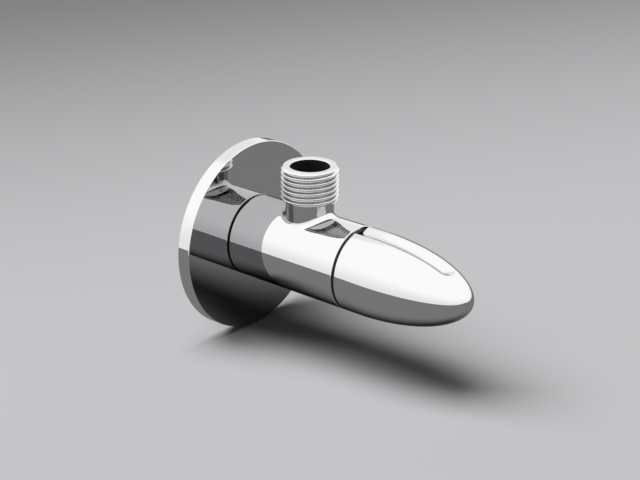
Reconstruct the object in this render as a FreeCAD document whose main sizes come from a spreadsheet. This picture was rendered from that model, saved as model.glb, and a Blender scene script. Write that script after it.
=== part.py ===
"""Angle valve: a quarter-turn stop valve with a wall flange, an upright outlet and a bullet handle.

The origin is the middle of the valve where its axis meets the wall. +Z is up, the way the outlet
points, and the valve stands out from the wall towards -Y. Every piece is drawn along its own axis
and then laid on the valve's axis, at its station: its distance from the wall.
"""
import FreeCAD, Part
import math
import os
import Sketcher

Vector = FreeCAD.Vector
Constraint = Sketcher.Constraint

ORIGIN = (-1, 1)
H_AXIS = -1
V_AXIS = -2
START = 1
END = 2
CENTRE = 3

SIZES = {
    # Wall flange, a pressed disc with a turned-back rim
    "flange_radius": 35.5,
    "flange_thickness": 5.2,
    "flange_wall": 1.2,
    "flange_hole_clearance": 0.45,
    "flange_edge_round": 0.35,
    # Washer in the seam between the flange and the body
    "flange_washer_thickness": 0.5,
    "flange_washer_inset": 0.6,
    # Both pipe threads, at their crests
    "thread_radius": 10.4775,
    "thread_pitch": 1.814,
    "thread_depth": 1.162,
    "thread_flank_angle": 27.5,
    "thread_crest_width": 0.3,
    "thread_chamfer": 1.0,
    # How far a thread's cutting tool stands out past the crests
    "thread_tool_reach": 0.2,
    # Casting, outside
    "casting_lip_wall": 1.1,
    "casting_length": 47.95,
    "casting_edge_round": 0.3,
    "shank_relief_radius": 9.0,
    "inlet_thread_length": 13.0,
    "outlet_from_shoulder": 25.4,
    "outlet_neck_height": 5.5,
    "outlet_thread_length": 10.8,
    "outlet_foot_chamfer": 0.5,
    "outlet_neck_radius": 8.6,
    "outlet_saddle_round": 2.5,
    "outlet_mouth_chamfer": 0.4,
    # Casting, inside
    "inlet_bore_radius": 6.5,
    "outlet_bore_radius": 7.1,
    "seat_from_shoulder": 13.3,
    "chamber_step": 1.0,
    "chamber_length": 20.0,
    "counterbore_depth": 3.0,
    # Headwork housing, a turned bush
    "housing_fit": 0.07,
    "housing_end_gap": 0.8,
    "housing_bore_radius": 8.1,
    "housing_wall": 1.3,
    "housing_thread_height": 0.53,
    "housing_thread_length": 11.0,
    "housing_collar_thickness": 1.5,
    "housing_neck_radius": 7.4,
    "housing_neck_height": 6.85,
    "hexagon_corner_inset": 0.353,
    "hexagon_height": 5.0,
    "window_width": 10.0,
    "window_height": 6.0,
    "gasket_thickness": 1.0,
    "gasket_width": 1.8,
    "gasket_inset": 0.1,
    # Seals and discs, from the seat outwards
    "seat_washer_thickness": 3.4,
    "seat_washer_width": 2.05,
    "seal_support_thickness": 3.0,
    "seal_support_wall": 0.8,
    "bore_fit": 0.05,
    "fixed_disc_thickness": 3.5,
    "turning_disc_thickness": 3.5,
    "turning_disc_clearance": 0.3,
    "disc_film": 0.02,
    "port_inner_radius": 2.4,
    "port_rim": 1.65,
    "port_angle": 80.0,
    "lug_width": 3.0,
    "lug_inset": 0.4,
    "lug_clearance": 0.1,
    "drive_slot_width": 2.2,
    "drive_slot_inset": 2.0,
    "drive_slot_depth": 1.6,
    "drive_clearance": 0.1,
    # Spindle
    "drive_bar_thickness": 3.0,
    "drive_bar_inset": 0.8,
    "drive_bar_height": 5.0,
    "spindle_flange_thickness": 2.5,
    "friction_washer_thickness": 1.0,
    "spindle_radius": 4.6,
    "spindle_running_clearance": 0.05,
    "ring_groove_depth": 1.1,
    "ring_groove_width": 1.6,
    "ring_section_radius": 0.55,
    "first_ring_from_bush": 6.0,
    "ring_spacing": 5.0,
    # Quarter-turn stop
    "quarter_turn": 90.0,
    "stop_recess_depth": 1.8,
    "stop_recess_radius": 5.6,
    "stop_ring_thickness": 1.5,
    "stop_ring_clearance": 0.3,
    "stop_tab_angle": 40.0,
    "stop_tab_inset": 0.3,
    "stop_angle_clearance": 1.0,
    "key_half_width": 3.3,
    "clip_thickness": 0.8,
    "clip_clearance": 0.4,
    "clip_groove_radius": 3.0,
    "clip_mouth": 4.4,
    "axial_play": 0.05,
    # Splines between the spindle and the insert
    "spline_radius": 4.0,
    "spline_height": 0.45,
    "spline_space_width": 1.2,
    "spline_cut_allowance": 0.1,
    "spline_count": 20.0,
    "spline_start_gap": 0.3,
    "spline_fit": 0.05,
    # Insert and its screw
    "insert_radius": 6.9,
    "insert_length": 12.0,
    "insert_end_wall": 2.0,
    "insert_space_tip_width": 0.4,
    "spindle_end_gap": 0.5,
    "screw_radius": 2.45,
    "screw_length": 6.0,
    "screw_tip_radius": 1.7,
    "screw_tip_length": 0.8,
    "screw_fit": 0.05,
    "screw_socket_width": 2.5,
    "screw_socket_depth": 2.6,
    "screw_from_insert_end": 6.4,
    # Glide ring in the seam, and the handle
    "seam_gap": 1.1,
    "glide_ring_fit": 0.1,
    "glide_ring_wall": 1.9,
    "glide_ring_clearance": 0.3,
    "handle_length": 47.05,
    "handle_collar_length": 5.55,
    "handle_edge_round": 0.3,
    "hexagon_clearance": 0.45,
    "hexagon_end_clearance": 0.85,
    "neck_clearance": 0.8,
    "neck_end_clearance": 1.0,
    # Thumb groove on top of the handle
    "recess_depth": 2.05,
    "recess_reach": 39.3,
    "recess_end_radius": 4.0,
    "recess_floor_radius": 2.5,
    "recess_flank_angle": 24.0,
    "recess_rim_round": 0.3,
    # How far a cut runs past the face that it opens
    "cut_allowance": 1.0,
}

# Stations along the valve's axis, each measured from the wall
SHOULDER = "(Sizes.flange_thickness + Sizes.flange_washer_thickness)"
OUTLET = f"({SHOULDER} + Sizes.outlet_from_shoulder)"
SEAT = f"({SHOULDER} + Sizes.seat_from_shoulder)"
CASTING_FRONT = f"({SHOULDER} + Sizes.casting_length)"
GASKET = f"({CASTING_FRONT} - Sizes.counterbore_depth)"
COLLAR = f"({GASKET} + Sizes.gasket_thickness)"
HEXAGON = f"({COLLAR} + Sizes.housing_collar_thickness)"
HEXAGON_TOP = f"({HEXAGON} + Sizes.hexagon_height)"
RIM_TOP = f"({HEXAGON_TOP} + Sizes.housing_neck_height)"
FIXED_DISC = f"({SEAT} + Sizes.seat_washer_thickness)"
TURNING_DISC = f"({FIXED_DISC} + Sizes.fixed_disc_thickness + Sizes.disc_film)"
DRIVE_BAR = f"({TURNING_DISC} + Sizes.turning_disc_thickness + Sizes.disc_film)"
SPINDLE_FLANGE = f"({DRIVE_BAR} + Sizes.drive_bar_height)"
FRICTION_WASHER = f"({SPINDLE_FLANGE} + Sizes.spindle_flange_thickness + Sizes.disc_film)"
BUSH = f"({FRICTION_WASHER} + Sizes.friction_washer_thickness)"
FIRST_RING = f"({BUSH} + Sizes.first_ring_from_bush)"
STOP_FLOOR = f"({RIM_TOP} - Sizes.stop_recess_depth)"
STOP_RING = f"({STOP_FLOOR} + Sizes.axial_play)"
CLIP = f"({STOP_RING} + Sizes.stop_ring_thickness + Sizes.axial_play)"
CLIP_TOP = f"({CLIP} + Sizes.clip_thickness)"
SPLINES = f"({CLIP_TOP} + Sizes.spline_start_gap)"
INSERT = f"({CLIP_TOP} + Sizes.neck_end_clearance)"
INSERT_END = f"({INSERT} + Sizes.insert_length)"
SPINDLE_END = f"({INSERT_END} - Sizes.insert_end_wall - Sizes.spindle_end_gap)"
SCREW = f"({INSERT} + Sizes.screw_from_insert_end)"
HANDLE = f"({CASTING_FRONT} + Sizes.seam_gap)"

# Radii that more than one piece takes its fit from, from the discs out to the casting
FLANGE_HOLE = "(Sizes.thread_radius + Sizes.flange_hole_clearance)"
BUSH_BORE = "(Sizes.spindle_radius + Sizes.spindle_running_clearance)"
RING_GROOVE = "(Sizes.spindle_radius - Sizes.ring_groove_depth)"
SPLINE_ROOT = "(Sizes.spline_radius - Sizes.spline_height)"
DISC_RADIUS = "(Sizes.housing_bore_radius - Sizes.bore_fit)"
TURNING_RADIUS = "(Sizes.housing_bore_radius - Sizes.turning_disc_clearance)"
WASHER_HOLE = f"({DISC_RADIUS} - Sizes.seat_washer_width)"
TUBE_RADIUS = "(Sizes.housing_bore_radius + Sizes.housing_wall)"
LUG_RADIUS = f"({TUBE_RADIUS} - Sizes.lug_inset)"
SCREWED_RADIUS = f"({TUBE_RADIUS} + Sizes.housing_thread_height)"
BUSH_SEAT = f"({SCREWED_RADIUS} + Sizes.housing_fit)"
CHAMBER_RADIUS = f"({BUSH_SEAT} + Sizes.chamber_step)"
GASKET_RADIUS = f"({BUSH_SEAT} + Sizes.gasket_width)"
COLLAR_RADIUS = f"({GASKET_RADIUS} + Sizes.gasket_inset)"
HEXAGON_RADIUS = f"({COLLAR_RADIUS} - Sizes.hexagon_corner_inset)"
GLIDE_BORE = f"({COLLAR_RADIUS} + Sizes.glide_ring_clearance)"
GLIDE_RADIUS = f"({GLIDE_BORE} + Sizes.glide_ring_wall)"
COUNTERBORE = f"({GLIDE_RADIUS} + Sizes.glide_ring_fit)"
CASTING_RADIUS = f"({COUNTERBORE} + Sizes.casting_lip_wall)"

# The outlet's height over the valve's axis, and where its thread starts
THREAD_START = f"({CASTING_RADIUS} + Sizes.outlet_neck_height)"
CREST_START = f"({THREAD_START} + Sizes.outlet_foot_chamfer)"
CREST_END = f"({CREST_START} + Sizes.outlet_thread_length)"
THREAD_END = f"({CREST_END} + Sizes.thread_chamfer)"

# How near an edge has to be to count as the one that is meant, and how loosely its box is known
EDGE_MATCH = 1e-4
RIM_MATCH = 1e-2
EDGE_BOX_SLACK = 0.1

doc = FreeCAD.newDocument("angle_valve")


def make_sheet():
    """The driving dimensions, one named cell each."""
    sheet = doc.addObject("Spreadsheet::Sheet", "Sizes")
    for row, (name, value) in enumerate(SIZES.items(), 1):
        sheet.set(f"A{row}", name)
        sheet.set(f"B{row}", str(value))
        sheet.setAlias(f"B{row}", name)
    doc.recompute()
    return sheet


sheet = make_sheet()


def value_of(expression):
    """An expression's value as it stands now, to draw a sketch near its final shape."""
    result = sheet.evalExpression(expression)
    return float(getattr(result, "Value", result))


# How each piece is placed


def new_piece(label, station):
    """A body whose own +Z is the valve's axis, away from the wall, and whose +Y is up."""
    body = doc.addObject("PartDesign::Body", label)
    body.Label = label
    body.Placement = FreeCAD.Placement(Vector(0, 0, 0), FreeCAD.Rotation(Vector(1, 0, 0), 90))
    body.setExpression("Placement.Base.y", f"-1mm * {station}")
    return body


# How each sketch is drawn and held


def new_sketch(body, name, role="XZ_Plane", lift=None):
    """A sketch on one of the body's own planes, lifted along the plane's normal."""
    plane = next(item for item in body.Origin.OriginFeatures if item.Role == role)
    sketch = body.newObject("Sketcher::SketchObject", name)
    sketch.AttachmentSupport = (plane, [""])
    sketch.MapMode = "FlatFace"
    if lift:
        sketch.setExpression("AttachmentOffset.Base.z", f"1mm * {lift}")
    return sketch


def hold(sketch, kind, items, expression):
    """A size constraint that follows an expression."""
    value = value_of(expression)
    if kind == "Angle":
        value = math.radians(value)
        expression = f"{expression} * 1deg"
    else:
        expression = f"{expression} * 1mm"
    index = sketch.addConstraint(Constraint(kind, *items, value))
    sketch.setExpression(f"Constraints[{index}]", expression)


def hold_point(sketch, line, end, across, along):
    """Hold a point at its two distances from the sketch's origin; '0' lays it on an axis."""
    if across == "0":
        sketch.addConstraint(Constraint("PointOnObject", line, end, V_AXIS))
    else:
        hold(sketch, "DistanceX", (*ORIGIN, line, end), across)
    if along == "0":
        sketch.addConstraint(Constraint("PointOnObject", line, end, H_AXIS))
    else:
        hold(sketch, "DistanceY", (*ORIGIN, line, end), along)


def draw_outline(sketch, corners):
    """A closed outline of straight lines through corners given as pairs of expressions."""
    points = [Vector(value_of(across), value_of(along), 0) for across, along in corners]
    lines = []
    for index, point in enumerate(points):
        following = points[(index + 1) % len(points)]
        lines.append(sketch.addGeometry(Part.LineSegment(point, following)))
    for index, line in enumerate(lines):
        following = lines[(index + 1) % len(lines)]
        sketch.addConstraint(Constraint("Coincident", line, END, following, START))
    for line, (across, along) in zip(lines, corners):
        hold_point(sketch, line, START, across, along)


def draw_circle(sketch, radius, along="0"):
    """A circle on the sketch's upright axis."""
    centre = Vector(0, value_of(along), 0)
    circle = sketch.addGeometry(Part.Circle(centre, Vector(0, 0, 1), value_of(radius)))
    hold_point(sketch, circle, CENTRE, "0", along)
    hold(sketch, "Radius", (circle,), radius)


def draw_rectangle(sketch, width, low, high):
    """A rectangle centred on the sketch's upright axis."""
    half = f"({width}) / 2"
    draw_outline(sketch, [(f"-{half}", low), (half, low), (half, high), (f"-{half}", high)])


def draw_hexagon(sketch, radius):
    """A regular hexagon about the origin, given to its corners, with two flats upright."""
    corners = []
    for turn in range(6):
        angle = 30 + 60 * turn
        corners.append((f"{radius} * cos({angle}deg)", f"{radius} * sin({angle}deg)"))
    draw_outline(sketch, corners)


def draw_sector(sketch, inner, outer, angle):
    """A ring sector about the origin, centred on the sketch's upright axis."""
    half = value_of(angle) / 2
    arcs = []
    for radius in (inner, outer):
        circle = Part.Circle(Vector(0, 0, 0), Vector(0, 0, 1), value_of(radius))
        turn = (math.radians(90 - half), math.radians(90 + half))
        arc = sketch.addGeometry(Part.ArcOfCircle(circle, *turn))
        sketch.addConstraint(Constraint("Coincident", arc, CENTRE, *ORIGIN))
        hold(sketch, "Radius", (arc,), radius)
        arcs.append(arc)
    for end, sign in ((START, -1), (END, 1)):
        ends = [sketch.getPoint(arc, end) for arc in arcs]
        side = sketch.addGeometry(Part.LineSegment(*ends))
        sketch.addConstraint(Constraint("Coincident", side, START, arcs[0], end))
        sketch.addConstraint(Constraint("Coincident", side, END, arcs[1], end))
        hold(sketch, "Angle", (side,), f"(90 + {sign} * ({angle}) / 2)")


# How each solid feature is made


def add_feature(body, kind, name, sketch, **settings):
    """A feature made from a sketch, with its plain settings."""
    feature = body.newObject(f"PartDesign::{kind}", name)
    feature.Profile = sketch
    for setting, value in settings.items():
        setattr(feature, setting, value)
    return feature


def turn(body, name, corners, kind="Revolution"):
    """Turn an outline of (radius, height) corners about the piece's axis."""
    sketch = new_sketch(body, f"{name}_profile")
    draw_outline(sketch, corners)
    return add_feature(body, kind, name, sketch, ReferenceAxis=(sketch, ["V_Axis"]), Angle=360)


def extrude(body, name, sketch, length=None, kind="Pad", **settings):
    """Pad or pocket a sketch by a length that follows an expression, or right through."""
    feature = add_feature(body, kind, name, sketch, **settings)
    if length:
        feature.setExpression("Length", f"1mm * {length}")
    else:
        feature.Type = "ThroughAll"
    return feature


def repeat_round(body, name, feature, count):
    """Repeat a feature round the piece's axis."""
    doc.recompute()
    axis = next(item for item in body.Origin.OriginFeatures if item.Role == "Z_Axis")
    pattern = body.newObject("PartDesign::PolarPattern", name)
    pattern.Originals = [feature]
    pattern.Axis = (axis, [""])
    pattern.Angle = 360
    pattern.setExpression("Occurrences", count)
    body.Tip = pattern
    return pattern


def thread_groove(start, length):
    """The outline of a thread's first groove, and how many fit between its two end lands."""
    count = f"floor(({length} + Sizes.thread_crest_width) / Sizes.thread_pitch)"
    land = f"(({length} + Sizes.thread_crest_width - {count} * Sizes.thread_pitch) / 2)"
    half_gap = "((Sizes.thread_pitch - Sizes.thread_crest_width) / 2)"
    middle = f"({start} + {land} + {half_gap})"
    slope = "tan(Sizes.thread_flank_angle * 1deg)"
    outside = "(Sizes.thread_radius + Sizes.thread_tool_reach)"
    half_mouth = f"({half_gap} + Sizes.thread_tool_reach * {slope})"
    bottom = "(Sizes.thread_radius - Sizes.thread_depth)"
    half_root = f"({half_gap} - Sizes.thread_depth * {slope})"
    outline = [
        (outside, f"({middle} - {half_mouth})"),
        (bottom, f"({middle} - {half_root})"),
        (bottom, f"({middle} + {half_root})"),
        (outside, f"({middle} + {half_mouth})"),
    ]
    return outline, count


def repeat_along(body, name, feature, role, count):
    """Repeat a thread groove along an axis of the piece, one pitch apart."""
    doc.recompute()
    axis = next(item for item in body.Origin.OriginFeatures if item.Role == role)
    pattern = body.newObject("PartDesign::LinearPattern", name)
    pattern.Originals = [feature]
    pattern.Direction = (axis, [""])
    pattern.setExpression("Length", f"1mm * Sizes.thread_pitch * ({count} - 1)")
    pattern.setExpression("Occurrences", count)
    body.Tip = pattern
    return pattern


def dress_edges(body, kind, name, size, wanted):
    """Round or chamfer the edges of the body's tip that the test picks."""
    doc.recompute()
    base = body.Tip
    names = []
    for index, edge in enumerate(base.Shape.Edges, 1):
        if not edge.Degenerated and wanted(edge):
            names.append(f"Edge{index}")
    feature = body.newObject(f"PartDesign::{kind}", name)
    feature.Base = (base, names)
    feature.setExpression("Radius" if kind == "Fillet" else "Size", f"1mm * {size}")
    return feature


def round_rim(body, name, size, radius, height):
    """Round the circular edge of one radius at one height on the piece's axis."""
    rim_radius = value_of(radius)
    rim_height = value_of(height)

    def wanted(edge):
        curve = edge.Curve
        return (
            isinstance(curve, Part.Circle)
            and abs(curve.Radius - rim_radius) < EDGE_MATCH
            and abs(curve.Center.z - rim_height) < EDGE_MATCH
            and abs(curve.Center.y) < EDGE_MATCH
        )

    return dress_edges(body, "Fillet", name, size, wanted)


def make_ring(label, station, inner, outer, thickness):
    """A flat ring, such as a washer or a gasket."""
    body = new_piece(label, station)
    sketch = new_sketch(body, f"{label}_outline", "XY_Plane")
    draw_circle(sketch, outer)
    draw_circle(sketch, inner)
    extrude(body, f"{label}_blank", sketch, thickness)
    return body


# The pieces that stay still, from the wall outwards


def make_wall_flange():
    """Pressed disc, hollow behind, with a turned-back rim and a hole that clears the thread."""
    body = new_piece("wall_flange", "0")
    radius = "Sizes.flange_radius"
    front = "Sizes.flange_thickness"
    inner = "(Sizes.flange_radius - Sizes.flange_wall)"
    behind = "(Sizes.flange_thickness - Sizes.flange_wall)"
    corners = [
        (FLANGE_HOLE, behind),
        (FLANGE_HOLE, front),
        (radius, front),
        (radius, "0"),
        (inner, "0"),
        (inner, behind),
    ]
    turn(body, "pressed_disc", corners)
    round_rim(body, "rim_round", "Sizes.flange_edge_round", radius, front)
    return body


def make_flange_washer():
    """Soft washer between the flange and the casting's shoulder, seen as the dark seam."""
    outer = f"({CASTING_RADIUS} - Sizes.flange_washer_inset)"
    thickness = "Sizes.flange_washer_thickness"
    return make_ring("flange_washer", "Sizes.flange_thickness", FLANGE_HOLE, outer, thickness)


def make_valve_body():
    """One casting: inlet shank, waterway, seat, chamber, headwork seat and outlet nipple."""
    body = new_piece("valve_body", SHOULDER)
    wide = CASTING_RADIUS
    front = "Sizes.casting_length"
    relief = "Sizes.shank_relief_radius"
    crest = "Sizes.thread_radius"
    crest_edge = "(Sizes.thread_radius - Sizes.thread_chamfer)"
    run_out = f"-({SHOULDER} - Sizes.thread_radius + Sizes.shank_relief_radius)"
    wall = f"-{SHOULDER}"
    thread_end = f"-({SHOULDER} + Sizes.inlet_thread_length)"
    tail = f"-({SHOULDER} + Sizes.inlet_thread_length + Sizes.thread_chamfer)"
    outside = [
        ("0", front),
        (wide, front),
        (wide, "0"),
        (relief, "0"),
        (relief, run_out),
        (crest, wall),
        (crest, thread_end),
        (crest_edge, tail),
        ("0", tail),
    ]
    turn(body, "barrel_and_shank", outside)
    add_outlet_nipple(body)
    groove, count = thread_groove(thread_end, "Sizes.inlet_thread_length")
    first = turn(body, "inlet_thread_groove", groove, "Groove")
    repeat_along(body, "inlet_thread", first, "Z_Axis", count)

    seat = "Sizes.seat_from_shoulder"
    bush = "(Sizes.seat_from_shoulder + Sizes.chamber_length)"
    floor = "(Sizes.casting_length - Sizes.counterbore_depth)"
    inlet = "Sizes.inlet_bore_radius"
    behind = f"({tail} - Sizes.cut_allowance)"
    ahead = f"({front} + Sizes.cut_allowance)"
    waterway = [
        ("0", behind),
        (inlet, behind),
        (inlet, seat),
        (CHAMBER_RADIUS, seat),
        (CHAMBER_RADIUS, bush),
        (BUSH_SEAT, bush),
        (BUSH_SEAT, floor),
        (COUNTERBORE, floor),
        (COUNTERBORE, ahead),
        ("0", ahead),
    ]
    turn(body, "waterway", waterway, "Groove")
    bore = new_sketch(body, "outlet_bore_outline")
    draw_circle(bore, "Sizes.outlet_bore_radius", "Sizes.outlet_from_shoulder")
    extrude(body, "outlet_bore", bore, kind="Pocket")

    mouth = value_of(THREAD_END)
    bore_radius = value_of("Sizes.outlet_bore_radius")

    def mouth_edge(edge):
        curve = edge.Curve
        return (
            isinstance(curve, Part.Circle)
            and abs(curve.Radius - bore_radius) < EDGE_MATCH
            and abs(curve.Center.y - mouth) < EDGE_MATCH
        )

    dress_edges(body, "Chamfer", "outlet_mouth", "Sizes.outlet_mouth_chamfer", mouth_edge)
    round_rim(body, "front_round", "Sizes.casting_edge_round", wide, front)
    round_rim(body, "shoulder_round", "Sizes.casting_edge_round", wide, "0")
    return body


def turn_upright(body, name, corners, top, kind="Revolution"):
    """Turn an outline of (height, station) corners about the outlet's axis."""
    sketch = new_sketch(body, f"{name}_profile", "YZ_Plane")
    draw_outline(sketch, corners)
    middle = "Sizes.outlet_from_shoulder"
    ends = [Vector(0, value_of(middle), 0), Vector(value_of(top), value_of(middle), 0)]
    axis = sketch.addGeometry(Part.LineSegment(*ends), True)
    hold_point(sketch, axis, START, "0", middle)
    hold_point(sketch, axis, END, top, middle)
    return add_feature(body, kind, name, sketch, ReferenceAxis=(sketch, ["Axis0"]), Angle=360)


def add_outlet_nipple(body):
    """The upright nipple: a neck with a saddle fillet, then the thread between its chamfers."""
    middle = "Sizes.outlet_from_shoulder"
    start = THREAD_START
    top = THREAD_END
    neck = f"({middle} + Sizes.outlet_neck_radius)"
    crest = f"({middle} + Sizes.thread_radius)"
    corners = [
        ("0", middle),
        ("0", neck),
        (start, neck),
        (start, f"({crest} - Sizes.outlet_foot_chamfer)"),
        (CREST_START, crest),
        (CREST_END, crest),
        (top, f"({crest} - Sizes.thread_chamfer)"),
        (top, middle),
    ]
    turn_upright(body, "nipple", corners, top)
    barrel = value_of(CASTING_RADIUS)

    def saddle_edge(edge):
        return isinstance(edge.Curve, Part.BSplineCurve) and edge.BoundBox.YMax < barrel + EDGE_BOX_SLACK

    dress_edges(body, "Fillet", "saddle", "Sizes.outlet_saddle_round", saddle_edge)
    outline, count = thread_groove(CREST_START, "Sizes.outlet_thread_length")
    groove = [(height, f"({middle} + {radius})") for radius, height in outline]
    first = turn_upright(body, "outlet_thread_groove", groove, top, "Groove")
    repeat_along(body, "outlet_thread", first, "Y_Axis", count)


def make_cartridge_housing():
    """Turned bush of the headwork: windows, thread, collar, hexagon and stop rim."""
    body = new_piece("cartridge_housing", COLLAR)
    end = f"({SEAT} + Sizes.housing_end_gap - {COLLAR})"
    shelf = f"({BUSH} - {COLLAR})"
    top = f"({RIM_TOP} - {COLLAR})"
    stop_floor = f"({STOP_FLOOR} - {COLLAR})"
    collar_top = "Sizes.housing_collar_thickness"
    thread_start = "(-Sizes.housing_thread_length)"
    bore = "Sizes.housing_bore_radius"
    neck = "Sizes.housing_neck_radius"
    corners = [
        (bore, end),
        (TUBE_RADIUS, end),
        (TUBE_RADIUS, thread_start),
        (SCREWED_RADIUS, thread_start),
        (SCREWED_RADIUS, "0"),
        (COLLAR_RADIUS, "0"),
        (COLLAR_RADIUS, collar_top),
        (neck, collar_top),
        (neck, top),
        ("Sizes.stop_recess_radius", top),
        ("Sizes.stop_recess_radius", stop_floor),
        (BUSH_BORE, stop_floor),
        (BUSH_BORE, shelf),
        (bore, shelf),
    ]
    turn(body, "bush", corners)

    hexagon = new_sketch(body, "hexagon_outline", "XY_Plane", collar_top)
    draw_hexagon(hexagon, HEXAGON_RADIUS)
    draw_circle(hexagon, f"(({BUSH_BORE} + {neck}) / 2)")
    extrude(body, "hexagon", hexagon, "Sizes.hexagon_height")

    windows = new_sketch(body, "window_outline")
    middle = f"({OUTLET} - {COLLAR})"
    low = f"({middle} - Sizes.window_height / 2)"
    high = f"({middle} + Sizes.window_height / 2)"
    draw_rectangle(windows, "Sizes.window_width", low, high)
    extrude(body, "windows", windows, kind="Pocket", Midplane=True)

    slots = new_sketch(body, "lug_slot_outline", "YZ_Plane")
    slot_end = f"({FIXED_DISC} + Sizes.fixed_disc_thickness + Sizes.lug_clearance - {COLLAR})"
    slot_width = "(Sizes.lug_width + 2 * Sizes.lug_clearance)"
    draw_rectangle(slots, slot_width, f"({end} - Sizes.cut_allowance)", slot_end)
    extrude(body, "lug_slots", slots, kind="Pocket", Midplane=True)

    notch = new_sketch(body, "stop_notch_outline", "XY_Plane", top)
    travel = "(Sizes.quarter_turn + Sizes.stop_tab_angle + 2 * Sizes.stop_angle_clearance)"
    draw_sector(notch, BUSH_BORE, f"({neck} + Sizes.cut_allowance)", travel)
    extrude(body, "stop_notch", notch, "Sizes.stop_recess_depth", "Pocket")
    return body


def make_fixed_disc():
    """Ceramic disc with two ports, held from turning by two lugs in the housing's slots."""
    body = new_piece("fixed_disc", FIXED_DISC)
    blank = new_sketch(body, "fixed_disc_outline", "XY_Plane")
    draw_circle(blank, DISC_RADIUS)
    extrude(body, "fixed_blank", blank, "Sizes.fixed_disc_thickness")
    lugs = new_sketch(body, "lug_outline", "XY_Plane")
    half = "(Sizes.lug_width / 2)"
    draw_outline(
        lugs,
        [
            (f"-{LUG_RADIUS}", f"-{half}"),
            (LUG_RADIUS, f"-{half}"),
            (LUG_RADIUS, half),
            (f"-{LUG_RADIUS}", half),
        ],
    )
    extrude(body, "lugs", lugs, "Sizes.fixed_disc_thickness")
    cut_ports(body, "fixed", "0")
    return body


def make_head_gasket():
    """Fibre ring under the housing's collar."""
    return make_ring("head_gasket", GASKET, BUSH_SEAT, GASKET_RADIUS, "Sizes.gasket_thickness")


def make_glide_ring():
    """Nylon ring that stands in the casting's mouth and fills the seam behind the handle."""
    reach = "(Sizes.counterbore_depth + Sizes.seam_gap - Sizes.glide_ring_clearance)"
    return make_ring("glide_ring", GASKET, GLIDE_BORE, GLIDE_RADIUS, reach)


def make_seat_washer():
    """Rubber ring between the casting's seat and the fixed disc."""
    thickness = "Sizes.seat_washer_thickness"
    return make_ring("seat_washer", SEAT, WASHER_HOLE, DISC_RADIUS, thickness)


def make_seal_support():
    """Plastic ring that keeps the seat washer from closing in."""
    outer = f"({WASHER_HOLE} - Sizes.bore_fit)"
    inner = f"({outer} - Sizes.seal_support_wall)"
    station = f"({FIXED_DISC} - Sizes.seal_support_thickness)"
    return make_ring("seal_support", station, inner, outer, "Sizes.seal_support_thickness")


def make_friction_washer():
    """Plastic washer that the spindle's flange turns on."""
    thickness = "Sizes.friction_washer_thickness"
    return make_ring("friction_washer", FRICTION_WASHER, BUSH_BORE, DISC_RADIUS, thickness)


# The pieces that turn with the handle, from the discs outwards


def cut_ports(body, name, turn_angle):
    """Two opposite ports through a disc, turned from the upright by an angle."""
    ports = new_sketch(body, f"{name}_port_outline", "XY_Plane")
    angle = value_of(turn_angle)
    ports.AttachmentOffset = FreeCAD.Placement(Vector(), FreeCAD.Rotation(Vector(0, 0, 1), angle))
    ports.setExpression("AttachmentOffset.Rotation.Angle", f"{turn_angle} * 1deg")
    outer = f"({DISC_RADIUS} - Sizes.port_rim)"
    draw_sector(ports, "Sizes.port_inner_radius", outer, "Sizes.port_angle")
    port = extrude(body, f"{name}_port", ports, kind="Pocket", Reversed=True)
    return repeat_round(body, f"{name}_ports", port, "2")


def make_turning_disc():
    """Ceramic disc whose ports stand across the fixed disc's when the valve is shut."""
    body = new_piece("turning_disc", TURNING_DISC)
    thickness = "Sizes.turning_disc_thickness"
    blank = new_sketch(body, "turning_disc_outline", "XY_Plane")
    draw_circle(blank, TURNING_RADIUS)
    extrude(body, "turning_blank", blank, thickness)
    cut_ports(body, "turning", "Sizes.quarter_turn")
    slot = new_sketch(body, "drive_slot_outline", "XY_Plane", thickness)
    half = f"({TURNING_RADIUS} - Sizes.drive_slot_inset)"
    draw_rectangle(slot, "Sizes.drive_slot_width", f"-{half}", half)
    extrude(body, "drive_slot", slot, "Sizes.drive_slot_depth", "Pocket")
    return body


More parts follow.
